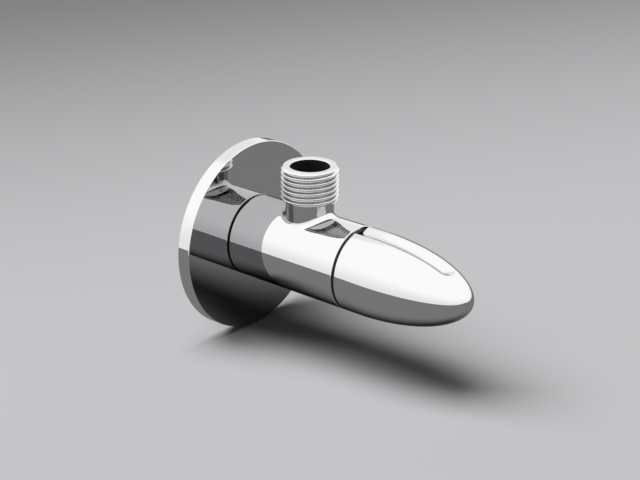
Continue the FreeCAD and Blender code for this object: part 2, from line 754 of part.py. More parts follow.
def make_spindle():
    """Turned spindle: drive tongue, bar, flange, ring grooves, key flats, clip groove, splines."""
    body = new_piece("spindle", SPINDLE_FLANGE)
    shaft = "Sizes.spindle_radius"
    spline = "Sizes.spline_radius"
    flange_top = "Sizes.spindle_flange_thickness"
    key_start = f"({STOP_FLOOR} - {SPINDLE_FLANGE})"
    spline_start = f"({SPLINES} - {SPINDLE_FLANGE})"
    end = f"({SPINDLE_END} - {SPINDLE_FLANGE})"
    corners = [
        ("0", "0"),
        (TURNING_RADIUS, "0"),
        (TURNING_RADIUS, flange_top),
        (shaft, flange_top),
        (shaft, key_start),
        (spline, key_start),
        (spline, end),
        ("0", end),
    ]
    turn(body, "shaft", corners)

    bar = new_sketch(body, "drive_bar_outline", "XY_Plane")
    half_bar = f"({TURNING_RADIUS} - Sizes.drive_bar_inset)"
    draw_rectangle(bar, "Sizes.drive_bar_thickness", f"-{half_bar}", half_bar)
    extrude(body, "drive_bar", bar, "Sizes.drive_bar_height", Reversed=True)
    tongue = new_sketch(body, "tongue_outline", "XY_Plane")
    half_tongue = f"({TURNING_RADIUS} - Sizes.drive_slot_inset - Sizes.drive_clearance)"
    width = "(Sizes.drive_slot_width - 2 * Sizes.drive_clearance)"
    draw_rectangle(tongue, width, f"-{half_tongue}", half_tongue)
    reach = "(Sizes.drive_bar_height + Sizes.drive_slot_depth - Sizes.drive_clearance)"
    extrude(body, "tongue", tongue, reach, Reversed=True)

    first = f"({FIRST_RING} - {SPINDLE_FLANGE})"
    low = f"({first} - Sizes.ring_groove_width / 2)"
    high = f"({first} + Sizes.ring_groove_width / 2)"
    outside = "(Sizes.spindle_radius + Sizes.cut_allowance)"
    groove = [(RING_GROOVE, low), (outside, low), (outside, high), (RING_GROOVE, high)]
    ring_groove = turn(body, "ring_groove", groove, "Groove")
    doc.recompute()
    axis = next(item for item in body.Origin.OriginFeatures if item.Role == "Z_Axis")
    grooves = body.newObject("PartDesign::LinearPattern", "ring_grooves")
    grooves.Originals = [ring_groove]
    grooves.Direction = (axis, [""])
    grooves.Occurrences = 2
    grooves.setExpression("Length", "1mm * Sizes.ring_spacing")
    body.Tip = grooves

    clip = f"({CLIP} - {SPINDLE_FLANGE})"
    clip_top = f"({CLIP_TOP} + Sizes.axial_play - {SPINDLE_FLANGE})"
    cut = "Sizes.clip_groove_radius"
    clip_groove = [(cut, clip), (outside, clip), (outside, clip_top), (cut, clip_top)]
    turn(body, "clip_groove", clip_groove, "Groove")

    flats = new_sketch(body, "key_flat_outline", "XY_Plane", key_start)
    flat = "Sizes.key_half_width"
    past = "(Sizes.spline_radius + Sizes.cut_allowance)"
    draw_outline(flats, [(flat, f"-{past}"), (past, f"-{past}"), (past, past), (flat, past)])
    key_flat = extrude(body, "key_flat", flats, f"({clip} - {key_start})", "Pocket", Reversed=True)
    repeat_round(body, "key_flats", key_flat, "2")

    space = new_sketch(body, "spline_space_outline", "XY_Plane", spline_start)
    half_space = "(Sizes.spline_space_width / 2)"
    rim = "(Sizes.spline_radius + Sizes.spline_cut_allowance)"
    draw_outline(space, [("0", SPLINE_ROOT), (half_space, rim), (f"-{half_space}", rim)])
    spline_space = extrude(body, "spline_space", space, kind="Pocket", Reversed=True)
    repeat_round(body, "splines", spline_space, "Sizes.spline_count")
    return body


def make_o_ring(label, station):
    """Round rubber ring in one of the spindle's grooves."""
    ring = doc.addObject("Part::Torus", label)
    ring.Label = label
    ring.Placement = FreeCAD.Placement(Vector(0, 0, 0), FreeCAD.Rotation(Vector(1, 0, 0), 90))
    ring.setExpression("Placement.Base.y", f"-1mm * {station}")
    middle = f"({RING_GROOVE} + Sizes.ring_section_radius + Sizes.spindle_running_clearance / 2)"
    ring.setExpression("Radius1", f"1mm * {middle}")
    ring.setExpression("Radius2", "1mm * Sizes.ring_section_radius")
    return ring


def make_stop_ring():
    """Keyed ring whose tab runs in the housing's notch and ends the turn at both sides."""
    body = new_piece("stop_ring", STOP_RING)
    thickness = "Sizes.stop_ring_thickness"
    hub = "(Sizes.stop_recess_radius - Sizes.stop_ring_clearance)"
    blank = new_sketch(body, "stop_ring_outline", "XY_Plane")
    draw_circle(blank, hub)
    extrude(body, "stop_hub", blank, thickness)
    tab = new_sketch(body, "stop_tab_outline", "XY_Plane")
    half_turn = "Sizes.quarter_turn / 2"
    rotation = FreeCAD.Rotation(Vector(0, 0, -1), value_of(half_turn))
    tab.AttachmentOffset = FreeCAD.Placement(Vector(), rotation)
    tab.setExpression("AttachmentOffset.Rotation.Angle", f"{half_turn} * 1deg")
    foot = f"({hub} - Sizes.cut_allowance)"
    tip = "(Sizes.housing_neck_radius - Sizes.stop_tab_inset)"
    draw_sector(tab, foot, tip, "Sizes.stop_tab_angle")
    extrude(body, "stop_tab", tab, thickness)

    hole = new_sketch(body, "key_hole_outline", "XY_Plane")
    flat = "(Sizes.key_half_width + Sizes.axial_play)"
    round_radius = "(Sizes.spline_radius + Sizes.axial_play)"
    draw_keyed_hole(hole, flat, round_radius)
    extrude(body, "key_hole", hole, kind="Pocket", Reversed=True)
    return body


def draw_keyed_hole(sketch, flat, radius):
    """A round hole with two upright flats."""
    half_flat = value_of(flat)
    hole_radius = value_of(radius)
    angle = math.acos(half_flat / hole_radius)
    circle = Part.Circle(Vector(0, 0, 0), Vector(0, 0, 1), hole_radius)
    upper = sketch.addGeometry(Part.ArcOfCircle(circle, angle, math.pi - angle))
    lower = sketch.addGeometry(Part.ArcOfCircle(circle, math.pi + angle, 2 * math.pi - angle))
    height = hole_radius * math.sin(angle)
    low_left = Vector(-half_flat, -height, 0)
    high_left = Vector(-half_flat, height, 0)
    low_right = Vector(half_flat, -height, 0)
    high_right = Vector(half_flat, height, 0)
    left = sketch.addGeometry(Part.LineSegment(high_left, low_left))
    right = sketch.addGeometry(Part.LineSegment(low_right, high_right))
    for first, second in ((upper, left), (left, lower), (lower, right), (right, upper)):
        sketch.addConstraint(Constraint("Coincident", first, END, second, START))
    for arc in (upper, lower):
        sketch.addConstraint(Constraint("Coincident", arc, CENTRE, *ORIGIN))
        hold(sketch, "Radius", (arc,), radius)
    for line in (left, right):
        sketch.addConstraint(Constraint("Vertical", line))
    hold(sketch, "DistanceX", (*ORIGIN, right, START), flat)
    hold(sketch, "DistanceX", (left, START, *ORIGIN), flat)


def make_circlip():
    """Open spring clip in the spindle's groove, over the stop ring."""
    body = new_piece("circlip", CLIP)
    sketch = new_sketch(body, "clip_outline", "XY_Plane")
    radius = "(Sizes.stop_recess_radius - Sizes.clip_clearance)"
    draw_circle(sketch, radius)
    draw_circle(sketch, "(Sizes.clip_groove_radius + Sizes.axial_play)")
    extrude(body, "clip_blank", sketch, "Sizes.clip_thickness")
    mouth = new_sketch(body, "clip_mouth_outline", "XY_Plane")
    draw_rectangle(mouth, "Sizes.clip_mouth", f"(-{radius} - Sizes.cut_allowance)", "0")
    extrude(body, "clip_mouth", mouth, kind="Pocket", Reversed=True)
    return body


def make_spline_insert():
    """Plastic socket that carries the handle on the spindle's splines."""
    body = new_piece("spline_insert", INSERT)
    blank = new_sketch(body, "insert_outline", "XY_Plane")
    draw_circle(blank, "Sizes.insert_radius")
    extrude(body, "insert_blank", blank, "Sizes.insert_length")
    depth = "(Sizes.insert_length - Sizes.insert_end_wall)"
    bore = new_sketch(body, "insert_bore_outline", "XY_Plane")
    draw_circle(bore, f"({SPLINE_ROOT} + Sizes.spline_fit)")
    extrude(body, "insert_bore", bore, depth, "Pocket", Reversed=True)
    space = new_sketch(body, "insert_space_outline", "XY_Plane")
    half_pitch = "180 / Sizes.spline_count"
    rotation = FreeCAD.Rotation(Vector(0, 0, 1), value_of(half_pitch))
    space.AttachmentOffset = FreeCAD.Placement(Vector(), rotation)
    space.setExpression("AttachmentOffset.Rotation.Angle", f"{half_pitch} * 1deg")
    foot = f"({SPLINE_ROOT} * sin({half_pitch} * 1deg) + Sizes.spline_fit)"
    tip = "(Sizes.insert_space_tip_width / 2)"
    inner = f"({SPLINE_ROOT} * cos({half_pitch} * 1deg) - Sizes.spline_fit)"
    outer = "(Sizes.spline_radius + Sizes.spline_fit)"
    draw_outline(space, [(f"-{foot}", inner), (foot, inner), (tip, outer), (f"-{tip}", outer)])
    groove = extrude(body, "insert_space", space, depth, "Pocket", Reversed=True)
    repeat_round(body, "insert_splines", groove, "Sizes.spline_count")
    return body


def make_grub_screw():
    """Socket screw that stands upright under the handle, its tip on the insert."""
    body = doc.addObject("PartDesign::Body", "grub_screw")
    body.Label = "grub_screw"
    body.Placement = FreeCAD.Placement(Vector(0, 0, 0), FreeCAD.Rotation(Vector(1, 0, 0), 180))
    body.setExpression("Placement.Base.y", f"-1mm * {SCREW}")
    body.setExpression("Placement.Base.z", "-1mm * (Sizes.insert_radius + Sizes.screw_fit)")
    top = "Sizes.screw_length"
    radius = "Sizes.screw_radius"
    tip = "Sizes.screw_tip_radius"
    corners = [("0", "0"), (tip, "0"), (radius, "Sizes.screw_tip_length"), (radius, top), ("0", top)]
    turn(body, "screw", corners)
    socket = new_sketch(body, "socket_outline", "XY_Plane", top)
    draw_hexagon(socket, "(Sizes.screw_socket_width / 2 / cos(30deg))")
    extrude(body, "socket", socket, "Sizes.screw_socket_depth", "Pocket")
    return body


def draw_bullet(sketch):
    """The handle's half outline: a straight collar, then a quarter of a long ellipse."""
    radius = value_of(CASTING_RADIUS)
    collar = value_of("Sizes.handle_collar_length")
    length = value_of("Sizes.handle_length")
    base = sketch.addGeometry(Part.LineSegment(Vector(0, 0, 0), Vector(radius, 0, 0)))
    side = sketch.addGeometry(Part.LineSegment(Vector(radius, 0, 0), Vector(radius, collar, 0)))
    ellipse = Part.Ellipse(Vector(0, length, 0), Vector(-radius, collar, 0), Vector(0, collar, 0))
    nose = sketch.addGeometry(Part.ArcOfEllipse(ellipse, 1.5 * math.pi, 2 * math.pi))
    middle = sketch.addGeometry(Part.LineSegment(Vector(0, length, 0), Vector(0, 0, 0)))
    sketch.exposeInternalGeometry(nose)
    long_axis = middle + 1
    for first, second in ((base, side), (side, nose), (nose, middle), (middle, base)):
        sketch.addConstraint(Constraint("Coincident", first, END, second, START))
    sketch.addConstraint(Constraint("Coincident", base, START, *ORIGIN))
    sketch.addConstraint(Constraint("Horizontal", base))
    sketch.addConstraint(Constraint("Vertical", side))
    sketch.addConstraint(Constraint("Vertical", middle))
    sketch.addConstraint(Constraint("Vertical", long_axis))
    hold_point(sketch, nose, CENTRE, "0", "Sizes.handle_collar_length")
    hold(sketch, "DistanceX", (*ORIGIN, base, END), CASTING_RADIUS)
    hold(sketch, "DistanceY", (*ORIGIN, side, END), "Sizes.handle_collar_length")
    hold(sketch, "DistanceY", (*ORIGIN, long_axis, START), "Sizes.handle_length")


def draw_recess_path(sketch):
    """The groove's floor line, which keeps its depth below the collar and the ellipse."""
    floor_radius = f"({CASTING_RADIUS} - Sizes.recess_depth)"
    floor_tip = "(Sizes.handle_length - Sizes.recess_depth)"
    floor_end = "(Sizes.recess_reach - Sizes.recess_end_radius)"
    floor = value_of(floor_radius)
    collar = value_of("Sizes.handle_collar_length")
    tip = value_of(floor_tip)
    stop = value_of(floor_end)
    straight = sketch.addGeometry(Part.LineSegment(Vector(floor, 0, 0), Vector(floor, collar, 0)))
    ellipse = Part.Ellipse(Vector(0, tip, 0), Vector(-floor, collar, 0), Vector(0, collar, 0))
    angle = math.acos((stop - collar) / (tip - collar))
    bend = sketch.addGeometry(Part.ArcOfEllipse(ellipse, 1.5 * math.pi, 2 * math.pi - angle))
    sketch.exposeInternalGeometry(bend)
    long_axis = bend + 1
    sketch.addConstraint(Constraint("PointOnObject", straight, START, H_AXIS))
    sketch.addConstraint(Constraint("Vertical", straight))
    sketch.addConstraint(Constraint("Coincident", straight, END, bend, START))
    sketch.addConstraint(Constraint("Vertical", long_axis))
    hold_point(sketch, bend, CENTRE, "0", "Sizes.handle_collar_length")
    hold_point(sketch, straight, END, floor_radius, "Sizes.handle_collar_length")
    hold(sketch, "DistanceY", (*ORIGIN, long_axis, START), floor_tip)
    hold(sketch, "DistanceY", (*ORIGIN, bend, END), floor_end)


def draw_recess_section(sketch):
    """The groove's section at the seam: a round floor between two sloping flanks."""
    radius = value_of("Sizes.recess_floor_radius")
    angle = math.radians(value_of("Sizes.recess_flank_angle"))
    lid = f"({CASTING_RADIUS} + Sizes.recess_depth)"
    floor = value_of(f"{CASTING_RADIUS} - Sizes.recess_depth")
    top = value_of(lid)
    foot = Vector(radius * math.sin(angle), floor + radius * (1 - math.cos(angle)), 0)
    brim = Vector(foot.x + (top - foot.y) / math.tan(angle), top, 0)
    circle = Part.Circle(Vector(0, floor + radius, 0), Vector(0, 0, 1), radius)
    arc = sketch.addGeometry(Part.ArcOfCircle(circle, -math.pi / 2 - angle, -math.pi / 2 + angle))
    right = sketch.addGeometry(Part.LineSegment(foot, brim))
    across = sketch.addGeometry(Part.LineSegment(brim, Vector(-brim.x, brim.y, 0)))
    left = sketch.addGeometry(Part.LineSegment(Vector(-brim.x, brim.y, 0), Vector(-foot.x, foot.y, 0)))
    sketch.addConstraint(Constraint("Tangent", arc, END, right, START))
    sketch.addConstraint(Constraint("Coincident", right, END, across, START))
    sketch.addConstraint(Constraint("Coincident", across, END, left, START))
    sketch.addConstraint(Constraint("Tangent", left, END, arc, START))
    sketch.addConstraint(Constraint("Symmetric", across, START, across, END, V_AXIS))
    hold(sketch, "Radius", (arc,), "Sizes.recess_floor_radius")
    hold(sketch, "Angle", (right,), "Sizes.recess_flank_angle")
    centre = f"({CASTING_RADIUS} - Sizes.recess_depth + Sizes.recess_floor_radius)"
    hold_point(sketch, arc, CENTRE, "0", centre)
    hold(sketch, "DistanceY", (*ORIGIN, across, START), lid)


def draw_recess_end(sketch):
    """Half of the groove's section, to be turned about the line that stands on the floor's end."""
    radius = value_of("Sizes.recess_floor_radius")
    angle = math.radians(value_of("Sizes.recess_flank_angle"))
    top = value_of("2 * Sizes.recess_depth")
    foot = Vector(radius * math.sin(angle), -radius * (1 - math.cos(angle)), 0)
    brim = Vector(foot.x + (top + foot.y) / math.tan(angle), -top, 0)
    circle = Part.Circle(Vector(0, -radius, 0), Vector(0, 0, 1), radius)
    arc = sketch.addGeometry(Part.ArcOfCircle(circle, math.pi / 2 - angle, math.pi / 2))
    flank = sketch.addGeometry(Part.LineSegment(foot, brim))
    lid = sketch.addGeometry(Part.LineSegment(brim, Vector(0, -top, 0)))
    middle = sketch.addGeometry(Part.LineSegment(Vector(0, -top, 0), Vector(0, 0, 0)))
    sketch.addConstraint(Constraint("Tangent", arc, START, flank, START))
    sketch.addConstraint(Constraint("Coincident", flank, END, lid, START))
    sketch.addConstraint(Constraint("Coincident", lid, END, middle, START))
    sketch.addConstraint(Constraint("Coincident", middle, END, arc, END))
    sketch.addConstraint(Constraint("Coincident", middle, END, *ORIGIN))
    sketch.addConstraint(Constraint("Horizontal", lid))
    sketch.addConstraint(Constraint("Vertical", middle))
    sketch.addConstraint(Constraint("PointOnObject", arc, CENTRE, V_AXIS))
    hold(sketch, "Radius", (arc,), "Sizes.recess_floor_radius")
    hold(sketch, "Angle", (flank,), "(-Sizes.recess_flank_angle)")
    hold(sketch, "DistanceY", (*ORIGIN, lid, END), "(-2 * Sizes.recess_depth)")


def cut_thumb_recess(body):
    """Cut the groove: its section swept along the floor line, then its round front end."""
    path = new_sketch(body, "recess_path", "YZ_Plane")
    draw_recess_path(path)
    section = new_sketch(body, "recess_section", "XY_Plane")
    draw_recess_section(section)
    sweep = add_feature(body, "SubtractivePipe", "recess", section)
    sweep.Spine = (path, ["Edge1", "Edge2"])
    doc.recompute()
    end = body.newObject("Sketcher::SketchObject", "recess_end_section")
    end.AttachmentSupport = [(path, "Edge2"), (path, "Vertex3")]
    end.MapMode = "FrenetTN"
    draw_recess_end(end)
    add_feature(body, "Groove", "recess_end", end, ReferenceAxis=(end, ["V_Axis"]), Angle=360)


def round_recess_rim(body):
    """Soften the rim where the groove breaks through the bullet's outside."""
    radius = value_of(CASTING_RADIUS)
    collar = value_of("Sizes.handle_collar_length")
    length = value_of("Sizes.handle_length")

    def on_outside(vertex):
        point = vertex.Point
        rise = max(point.z - collar, 0) / (length - collar)
        outside = radius * math.sqrt(1 - rise**2)
        return point.y > 0 and abs(math.hypot(point.x, point.y) - outside) < RIM_MATCH

    def rim_edge(edge):
        return edge.BoundBox.XLength < radius and all(on_outside(vertex) for vertex in edge.Vertexes)

    return dress_edges(body, "Fillet", "recess_rim", "Sizes.recess_rim_round", rim_edge)


def make_handle():
    """One casting: bullet shape, thumb groove, room for the hexagon, insert socket, screw hole."""
    body = new_piece("handle", HANDLE)
    outside = new_sketch(body, "bullet_profile")
    draw_bullet(outside)
    axis = (outside, ["V_Axis"])
    add_feature(body, "Revolution", "bullet", outside, ReferenceAxis=axis, Angle=360)
    round_rim(body, "base_round", "Sizes.handle_edge_round", CASTING_RADIUS, "0")
    cut_thumb_recess(body)
    round_recess_rim(body)

    wide = f"({HEXAGON_RADIUS} + Sizes.hexagon_clearance)"
    behind = "(-Sizes.cut_allowance)"
    wide_end = f"({HEXAGON_TOP} + Sizes.hexagon_end_clearance - {HANDLE})"
    neck = "(Sizes.housing_neck_radius + Sizes.neck_clearance)"
    neck_end = f"({INSERT} - {HANDLE})"
    socket = "(Sizes.insert_radius + Sizes.bore_fit)"
    socket_end = f"({INSERT_END} - {HANDLE})"
    corners = [
        ("0", behind),
        (wide, behind),
        (wide, wide_end),
        (neck, wide_end),
        (neck, neck_end),
        (socket, neck_end),
        (socket, socket_end),
        ("0", socket_end),
    ]
    turn(body, "headwork_room", corners, "Groove")

    hole = new_sketch(body, "screw_hole_outline")
    draw_circle(hole, "(Sizes.screw_radius + Sizes.screw_fit)", f"({SCREW} - {HANDLE})")
    extrude(body, "screw_hole", hole, kind="Pocket", Reversed=True)
    return body


def make_pieces():
    """Every piece of the valve."""
    return [
        make_wall_flange(),
        make_flange_washer(),
        make_valve_body(),
        make_seat_washer(),
        make_seal_support(),
        make_fixed_disc(),
        make_cartridge_housing(),
        make_head_gasket(),
        make_friction_washer(),
        make_glide_ring(),
        make_turning_disc(),
        make_spindle(),
        make_o_ring("lower_o_ring", FIRST_RING),
        make_o_ring("upper_o_ring", f"({FIRST_RING} + Sizes.ring_spacing)"),
        make_stop_ring(),
        make_circlip(),
        make_spline_insert(),
        make_grub_screw(),
        make_handle(),
    ]


def check_and_export(pieces):
    """Stop on any failed object or bad solid, then write one file for each piece."""
    doc.recompute()
    for item in doc.Objects:
        if "Invalid" in item.State or "Error" in item.State:
            raise RuntimeError(f"{item.Label} failed: {item.State}")
    for piece in pieces:
        if piece.Shape.isNull() or not piece.Shape.isValid():
            raise RuntimeError(f"{piece.Label} has no valid shape")
    os.makedirs("parts", exist_ok=True)
    for piece in pieces:
        piece.Shape.exportStep(f"parts/{piece.Label}.step")
        solids = len(piece.Shape.Solids)
        print(f"{piece.Label}: {solids} solid, {piece.Shape.Volume:.1f} mm3")


check_and_export(make_pieces())
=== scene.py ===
import math

import bmesh
import bpy
from mathutils import Matrix, Vector


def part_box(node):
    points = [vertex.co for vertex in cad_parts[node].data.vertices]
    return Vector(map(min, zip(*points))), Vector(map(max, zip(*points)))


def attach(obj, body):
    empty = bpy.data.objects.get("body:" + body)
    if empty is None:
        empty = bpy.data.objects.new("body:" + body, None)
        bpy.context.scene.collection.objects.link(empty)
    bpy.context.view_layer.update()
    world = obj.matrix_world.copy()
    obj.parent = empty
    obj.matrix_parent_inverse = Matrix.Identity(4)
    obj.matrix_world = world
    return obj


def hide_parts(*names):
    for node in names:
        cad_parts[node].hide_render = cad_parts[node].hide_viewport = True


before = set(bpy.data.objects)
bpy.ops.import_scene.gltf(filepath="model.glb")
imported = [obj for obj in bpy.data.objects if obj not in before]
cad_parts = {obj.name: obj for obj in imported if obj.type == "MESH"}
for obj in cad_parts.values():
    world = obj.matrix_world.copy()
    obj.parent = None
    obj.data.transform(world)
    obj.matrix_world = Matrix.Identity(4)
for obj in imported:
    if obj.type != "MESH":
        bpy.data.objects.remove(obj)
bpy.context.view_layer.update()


# Wall flange: the round cover plate at the wall, pressed from brass sheet with its rim turned
# back, hollow behind, then polished and chrome-plated. It rests on the valve's shank.

FLANGE_WALL = 0.0012
FLANGE_HOLE_RADIUS = 0.0109275
FLANGE_EDGE_ROUND = 0.00035
FLANGE_SEGMENTS = 360
CHROME_COLOUR = (0.96, 0.96, 0.965)
CHROME_HAZY = (0.945, 0.945, 0.95)
# Colour of chrome where it is seen in other chrome: a painted darkening of its reflections.
CHROME_PAINTED_DARK_IN_MIRROR = (0.45, 0.45, 0.46)
CHROME_HAZE = 0.012
CHROME_HAZE_SPREAD = 0.010
CHROME_HAZE_SCALE = 90.0
EVEN = (1.0, 1.0, 1.0)
SHARP_EDGE = math.radians(32)
MERGE_DISTANCE = 1e-7
FLANGE_EDGE_STEPS = 6
# The colour sockets of the Mix node, which share their names with its other types.
MIX_SHARE = 0
MIX_FIRST = 6
MIX_SECOND = 7
MIX_COLOUR = 2


class Link:
    """A node's output that takes part in Python expressions; each one adds a Math node."""

    def __init__(self, nodes, socket):
        self.nodes = nodes
        self.socket = socket

    def math(self, operation, *values):
        inputs = dict(enumerate(values))
        return self.nodes.add("ShaderNodeMath", {"operation": operation}, inputs)

    def __add__(self, other):
        return self.math("ADD", self, other)

    def __sub__(self, other):
        return self.math("SUBTRACT", self, other)

    def __rsub__(self, other):
        return self.math("SUBTRACT", other, self)

    def __mul__(self, other):
        return self.math("MULTIPLY", self, other)

    def __truediv__(self, other):
        return self.math("DIVIDE", self, other)

    def __rtruediv__(self, other):
        return self.math("DIVIDE", other, self)

    def __abs__(self):
        return self.math("ABSOLUTE", self)

    def least(self, other):
        return self.math("MINIMUM", self, other)

    def most(self, other):
        return self.math("MAXIMUM", self, other)

    def root(self):
        return self.math("SQRT", self)

    def sine(self):
        return self.math("SINE", self)

    def cosine(self):
        return self.math("COSINE", self)

    def rounded_up(self):
        return self.math("CEIL", self)

    def fraction(self):
        return self.math("FRACT", self)

    def over(self, other):
        return self.math("GREATER_THAN", self, other)

    def ramp(self, start, end):
        """A soft step from 0 at start to 1 at end."""
        share = ((self - start) / (end - start)).most(0.0).least(1.0)
        return share * share * (3.0 - share * 2.0)

    def beside(self, name):
        """Another output of the same node."""
        return Link(self.nodes, self.socket.node.outputs[name])

    __radd__ = __add__
    __rmul__ = __mul__


class Nodes:
    """A node tree whose nodes are added by type, settings and inputs."""

    def __init__(self, tree):
        self.tree = tree

    def add(self, kind, settings, inputs, output=0):
        node = self.tree.nodes.new(kind)
        for name, value in settings.items():
            setattr(node, name, value)
        for key, value in inputs.items():
            if isinstance(value, Link):
                self.tree.links.new(value.socket, node.inputs[key])
            else:
                node.inputs[key].default_value = value
        return Link(self, node.outputs[output]) if len(node.outputs) else node


def bare_nodes(owner):
    """The emptied node tree of a material or a world."""
    owner.use_nodes = True
    owner.node_tree.nodes.clear()
    return Nodes(owner.node_tree)


def new_finish(name, make):
    """A material whose surface is what make(nodes) returns for the shader's sockets."""
    finish = bpy.data.materials.new(name)
    nodes = bare_nodes(finish)
    shader = nodes.add("ShaderNodeBsdfPrincipled", {}, make(nodes))
    nodes.add("ShaderNodeOutputMaterial", {}, {"Surface": shader})
    return finish


def grain(nodes, scale, detail=2.0, stretch=EVEN):
    """Even noise from 0 to 1 in the valve's own coordinates."""
    place = nodes.add("ShaderNodeTexCoord", {}, {}, "Object")
    laid = nodes.add("ShaderNodeMapping", {}, {"Vector": place, "Scale": stretch})
    return nodes.add("ShaderNodeTexNoise", {}, {"Vector": laid, "Scale": scale, "Detail": detail})


def tinted(nodes, share, first, second):
    """A colour between two others."""
    ends = [end if isinstance(end, Link) else (*end, 1.0) for end in (first, second)]
    inputs = {MIX_SHARE: share, MIX_FIRST: ends[0], MIX_SECOND: ends[1]}
    return nodes.add("ShaderNodeMix", {"data_type": "RGBA"}, inputs, MIX_COLOUR)


def seen_in_mirror(nodes):
    """1 where a surface or the room is seen in a mirror, otherwise 0."""
    return nodes.add("ShaderNodeLightPath", {}, {}, "Is Glossy Ray")


def polished(nodes):
    """Mirror-polished chrome with the faint haze that buffing leaves; where it is seen in other chrome its
    colour is painted darker, a painted darkening of chrome's reflections in chrome."""
    haze = grain(nodes, CHROME_HAZE_SCALE)
    bright = tinted(nodes, haze, CHROME_HAZY, CHROME_COLOUR)
    return {
        "Base Color": tinted(nodes, seen_in_mirror(nodes), bright, CHROME_PAINTED_DARK_IN_MIRROR),
        "Metallic": 1.0,
        "Roughness": CHROME_HAZE + haze * CHROME_HAZE_SPREAD,
    }


polished_chrome = new_finish("polished_chrome", polished)


def arc(across, along, radius, start, end, steps):
    """Points of a round in an outline of (radius, place) pairs, by angles in degrees."""
    points = []
    for step in range(steps + 1):
        angle = math.radians(start + (end - start) * step / steps)
        points.append((across + radius * math.cos(angle), along + radius * math.sin(angle)))
    return points


def add_object(name, data):
    """A new object in the scene."""
    added = bpy.data.objects.new(name, data)
    bpy.context.scene.collection.objects.link(added)
    return added


def plain_mesh(carrier):
    """The mesh that an object has after its modifiers."""
    seen = carrier.evaluated_get(bpy.context.evaluated_depsgraph_get())
    return bpy.data.meshes.new_from_object(seen)


def written(made, name):
    """A new mesh from a bmesh, which is let go."""
    mesh = bpy.data.meshes.new(name)
    made.to_mesh(mesh)
    made.free()
    return mesh


def revolve(name, outline, segments, closed=True):
    """A mesh turned about the valve's axis from an outline of (radius, y) pairs."""
    made = bmesh.new()
    rings = []
    for radius, y in outline:
        ring = []
        for segment in range(segments):
            angle = 2 * math.pi * segment / segments
            ring.append(made.verts.new((radius * math.sin(angle), y, radius * math.cos(angle))))
        rings.append(ring)
    pairs = list(zip(rings, rings[1:]))
    if closed:
        pairs.append((rings[-1], rings[0]))
    for first, second in pairs:
        for here in range(segments):
            there = (here + 1) % segments
            made.faces.new((first[here], first[there], second[there], second[here]))
    bmesh.ops.remove_doubles(made, verts=made.verts, dist=MERGE_DISTANCE)
    bmesh.ops.recalc_face_normals(made, faces=made.faces)
    return written(made, name)


def flattened(mesh):
    """The mesh with normals that follow its larger faces, so that flats mirror as flats."""
    carrier = add_object("carrier", mesh)
    modifier = carrier.modifiers.new("flats", "WEIGHTED_NORMAL")
    modifier.keep_sharp = True
    result = plain_mesh(carrier)
    bpy.data.objects.remove(carrier)
    return result


def new_piece(name, mesh, finish, body, node):
    """Show a mesh as the piece that stands for a CAD node."""
    mesh.materials.clear()
    mesh.materials.append(finish)
    mesh.shade_smooth()
    mesh.set_sharp_from_angle(angle=SHARP_EDGE)
    mesh = flattened(mesh)
    mesh.name = name
    piece = add_object(name, mesh)
    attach(piece, body)
    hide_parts(node)
    return piece


flange_low, flange_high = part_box("wall_flange")
flange_radius = flange_high.x
flange_inside = flange_radius - FLANGE_WALL
flange_front = flange_low.y
flange_back = flange_high.y
round_across = flange_radius - FLANGE_EDGE_ROUND
round_along = flange_front + FLANGE_EDGE_ROUND
flange_outline = [
    (FLANGE_HOLE_RADIUS, flange_front + FLANGE_WALL),
    (FLANGE_HOLE_RADIUS, flange_front),
    *arc(round_across, round_along, FLANGE_EDGE_ROUND, -90, 0, FLANGE_EDGE_STEPS),
    (flange_radius, flange_back),
    (flange_inside, flange_back),
    (flange_inside, flange_front + FLANGE_WALL),
]
flange_mesh = revolve("wall_flange_plate", flange_outline, FLANGE_SEGMENTS)
new_piece("wall_flange_plate", flange_mesh, polished_chrome, "valve", "wall_flange")


# Flange washer: a soft black rubber ring cut from sheet. It is the thin dark seam between the
# flange and the casting's shoulder, and it keeps the two chromed faces apart.

RUBBER = (0.006, 0.006, 0.006), (0.014, 0.014, 0.014)
RELIEF_STRENGTH = 0.3
GRAIN_DETAIL = 4.0


def grained(first, second, scale, roughness, relief, metallic=0.0, stretch=EVEN, shine=0.5):
    """What makes a finish whose colour, gloss and fine relief all follow one even grain."""
    least, most = roughness

    def make(nodes):
        grit = grain(nodes, scale, GRAIN_DETAIL, stretch)
        height = {"Strength": RELIEF_STRENGTH, "Distance": relief, "Height": grit}
        return {
            "Base Color": tinted(nodes, grit, first, second),
            "Metallic": metallic,
            "Roughness": least + grit * (most - least),
            "Specular IOR Level": shine,
            "Normal": nodes.add("ShaderNodeBump", {}, height),
        }

    return make


def paint_nodes(finish, *names):
    """Give CAD nodes that keep their shape their own finish."""
    for name in names:
        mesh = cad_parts[name].data
        mesh.materials.clear()
        mesh.materials.append(finish)


rubber = grained(*RUBBER, scale=2600.0, roughness=(0.6, 0.8), relief=0.00005, shine=0.2)
black_rubber = new_finish("black_rubber", rubber)
paint_nodes(black_rubber, "flange_washer")


# Valve body: one brass casting, machined, polished and plated. The barrel carries the upright
# outlet on a saddle round, and the inlet shank goes into the wall. Both ends have G1/2 threads.

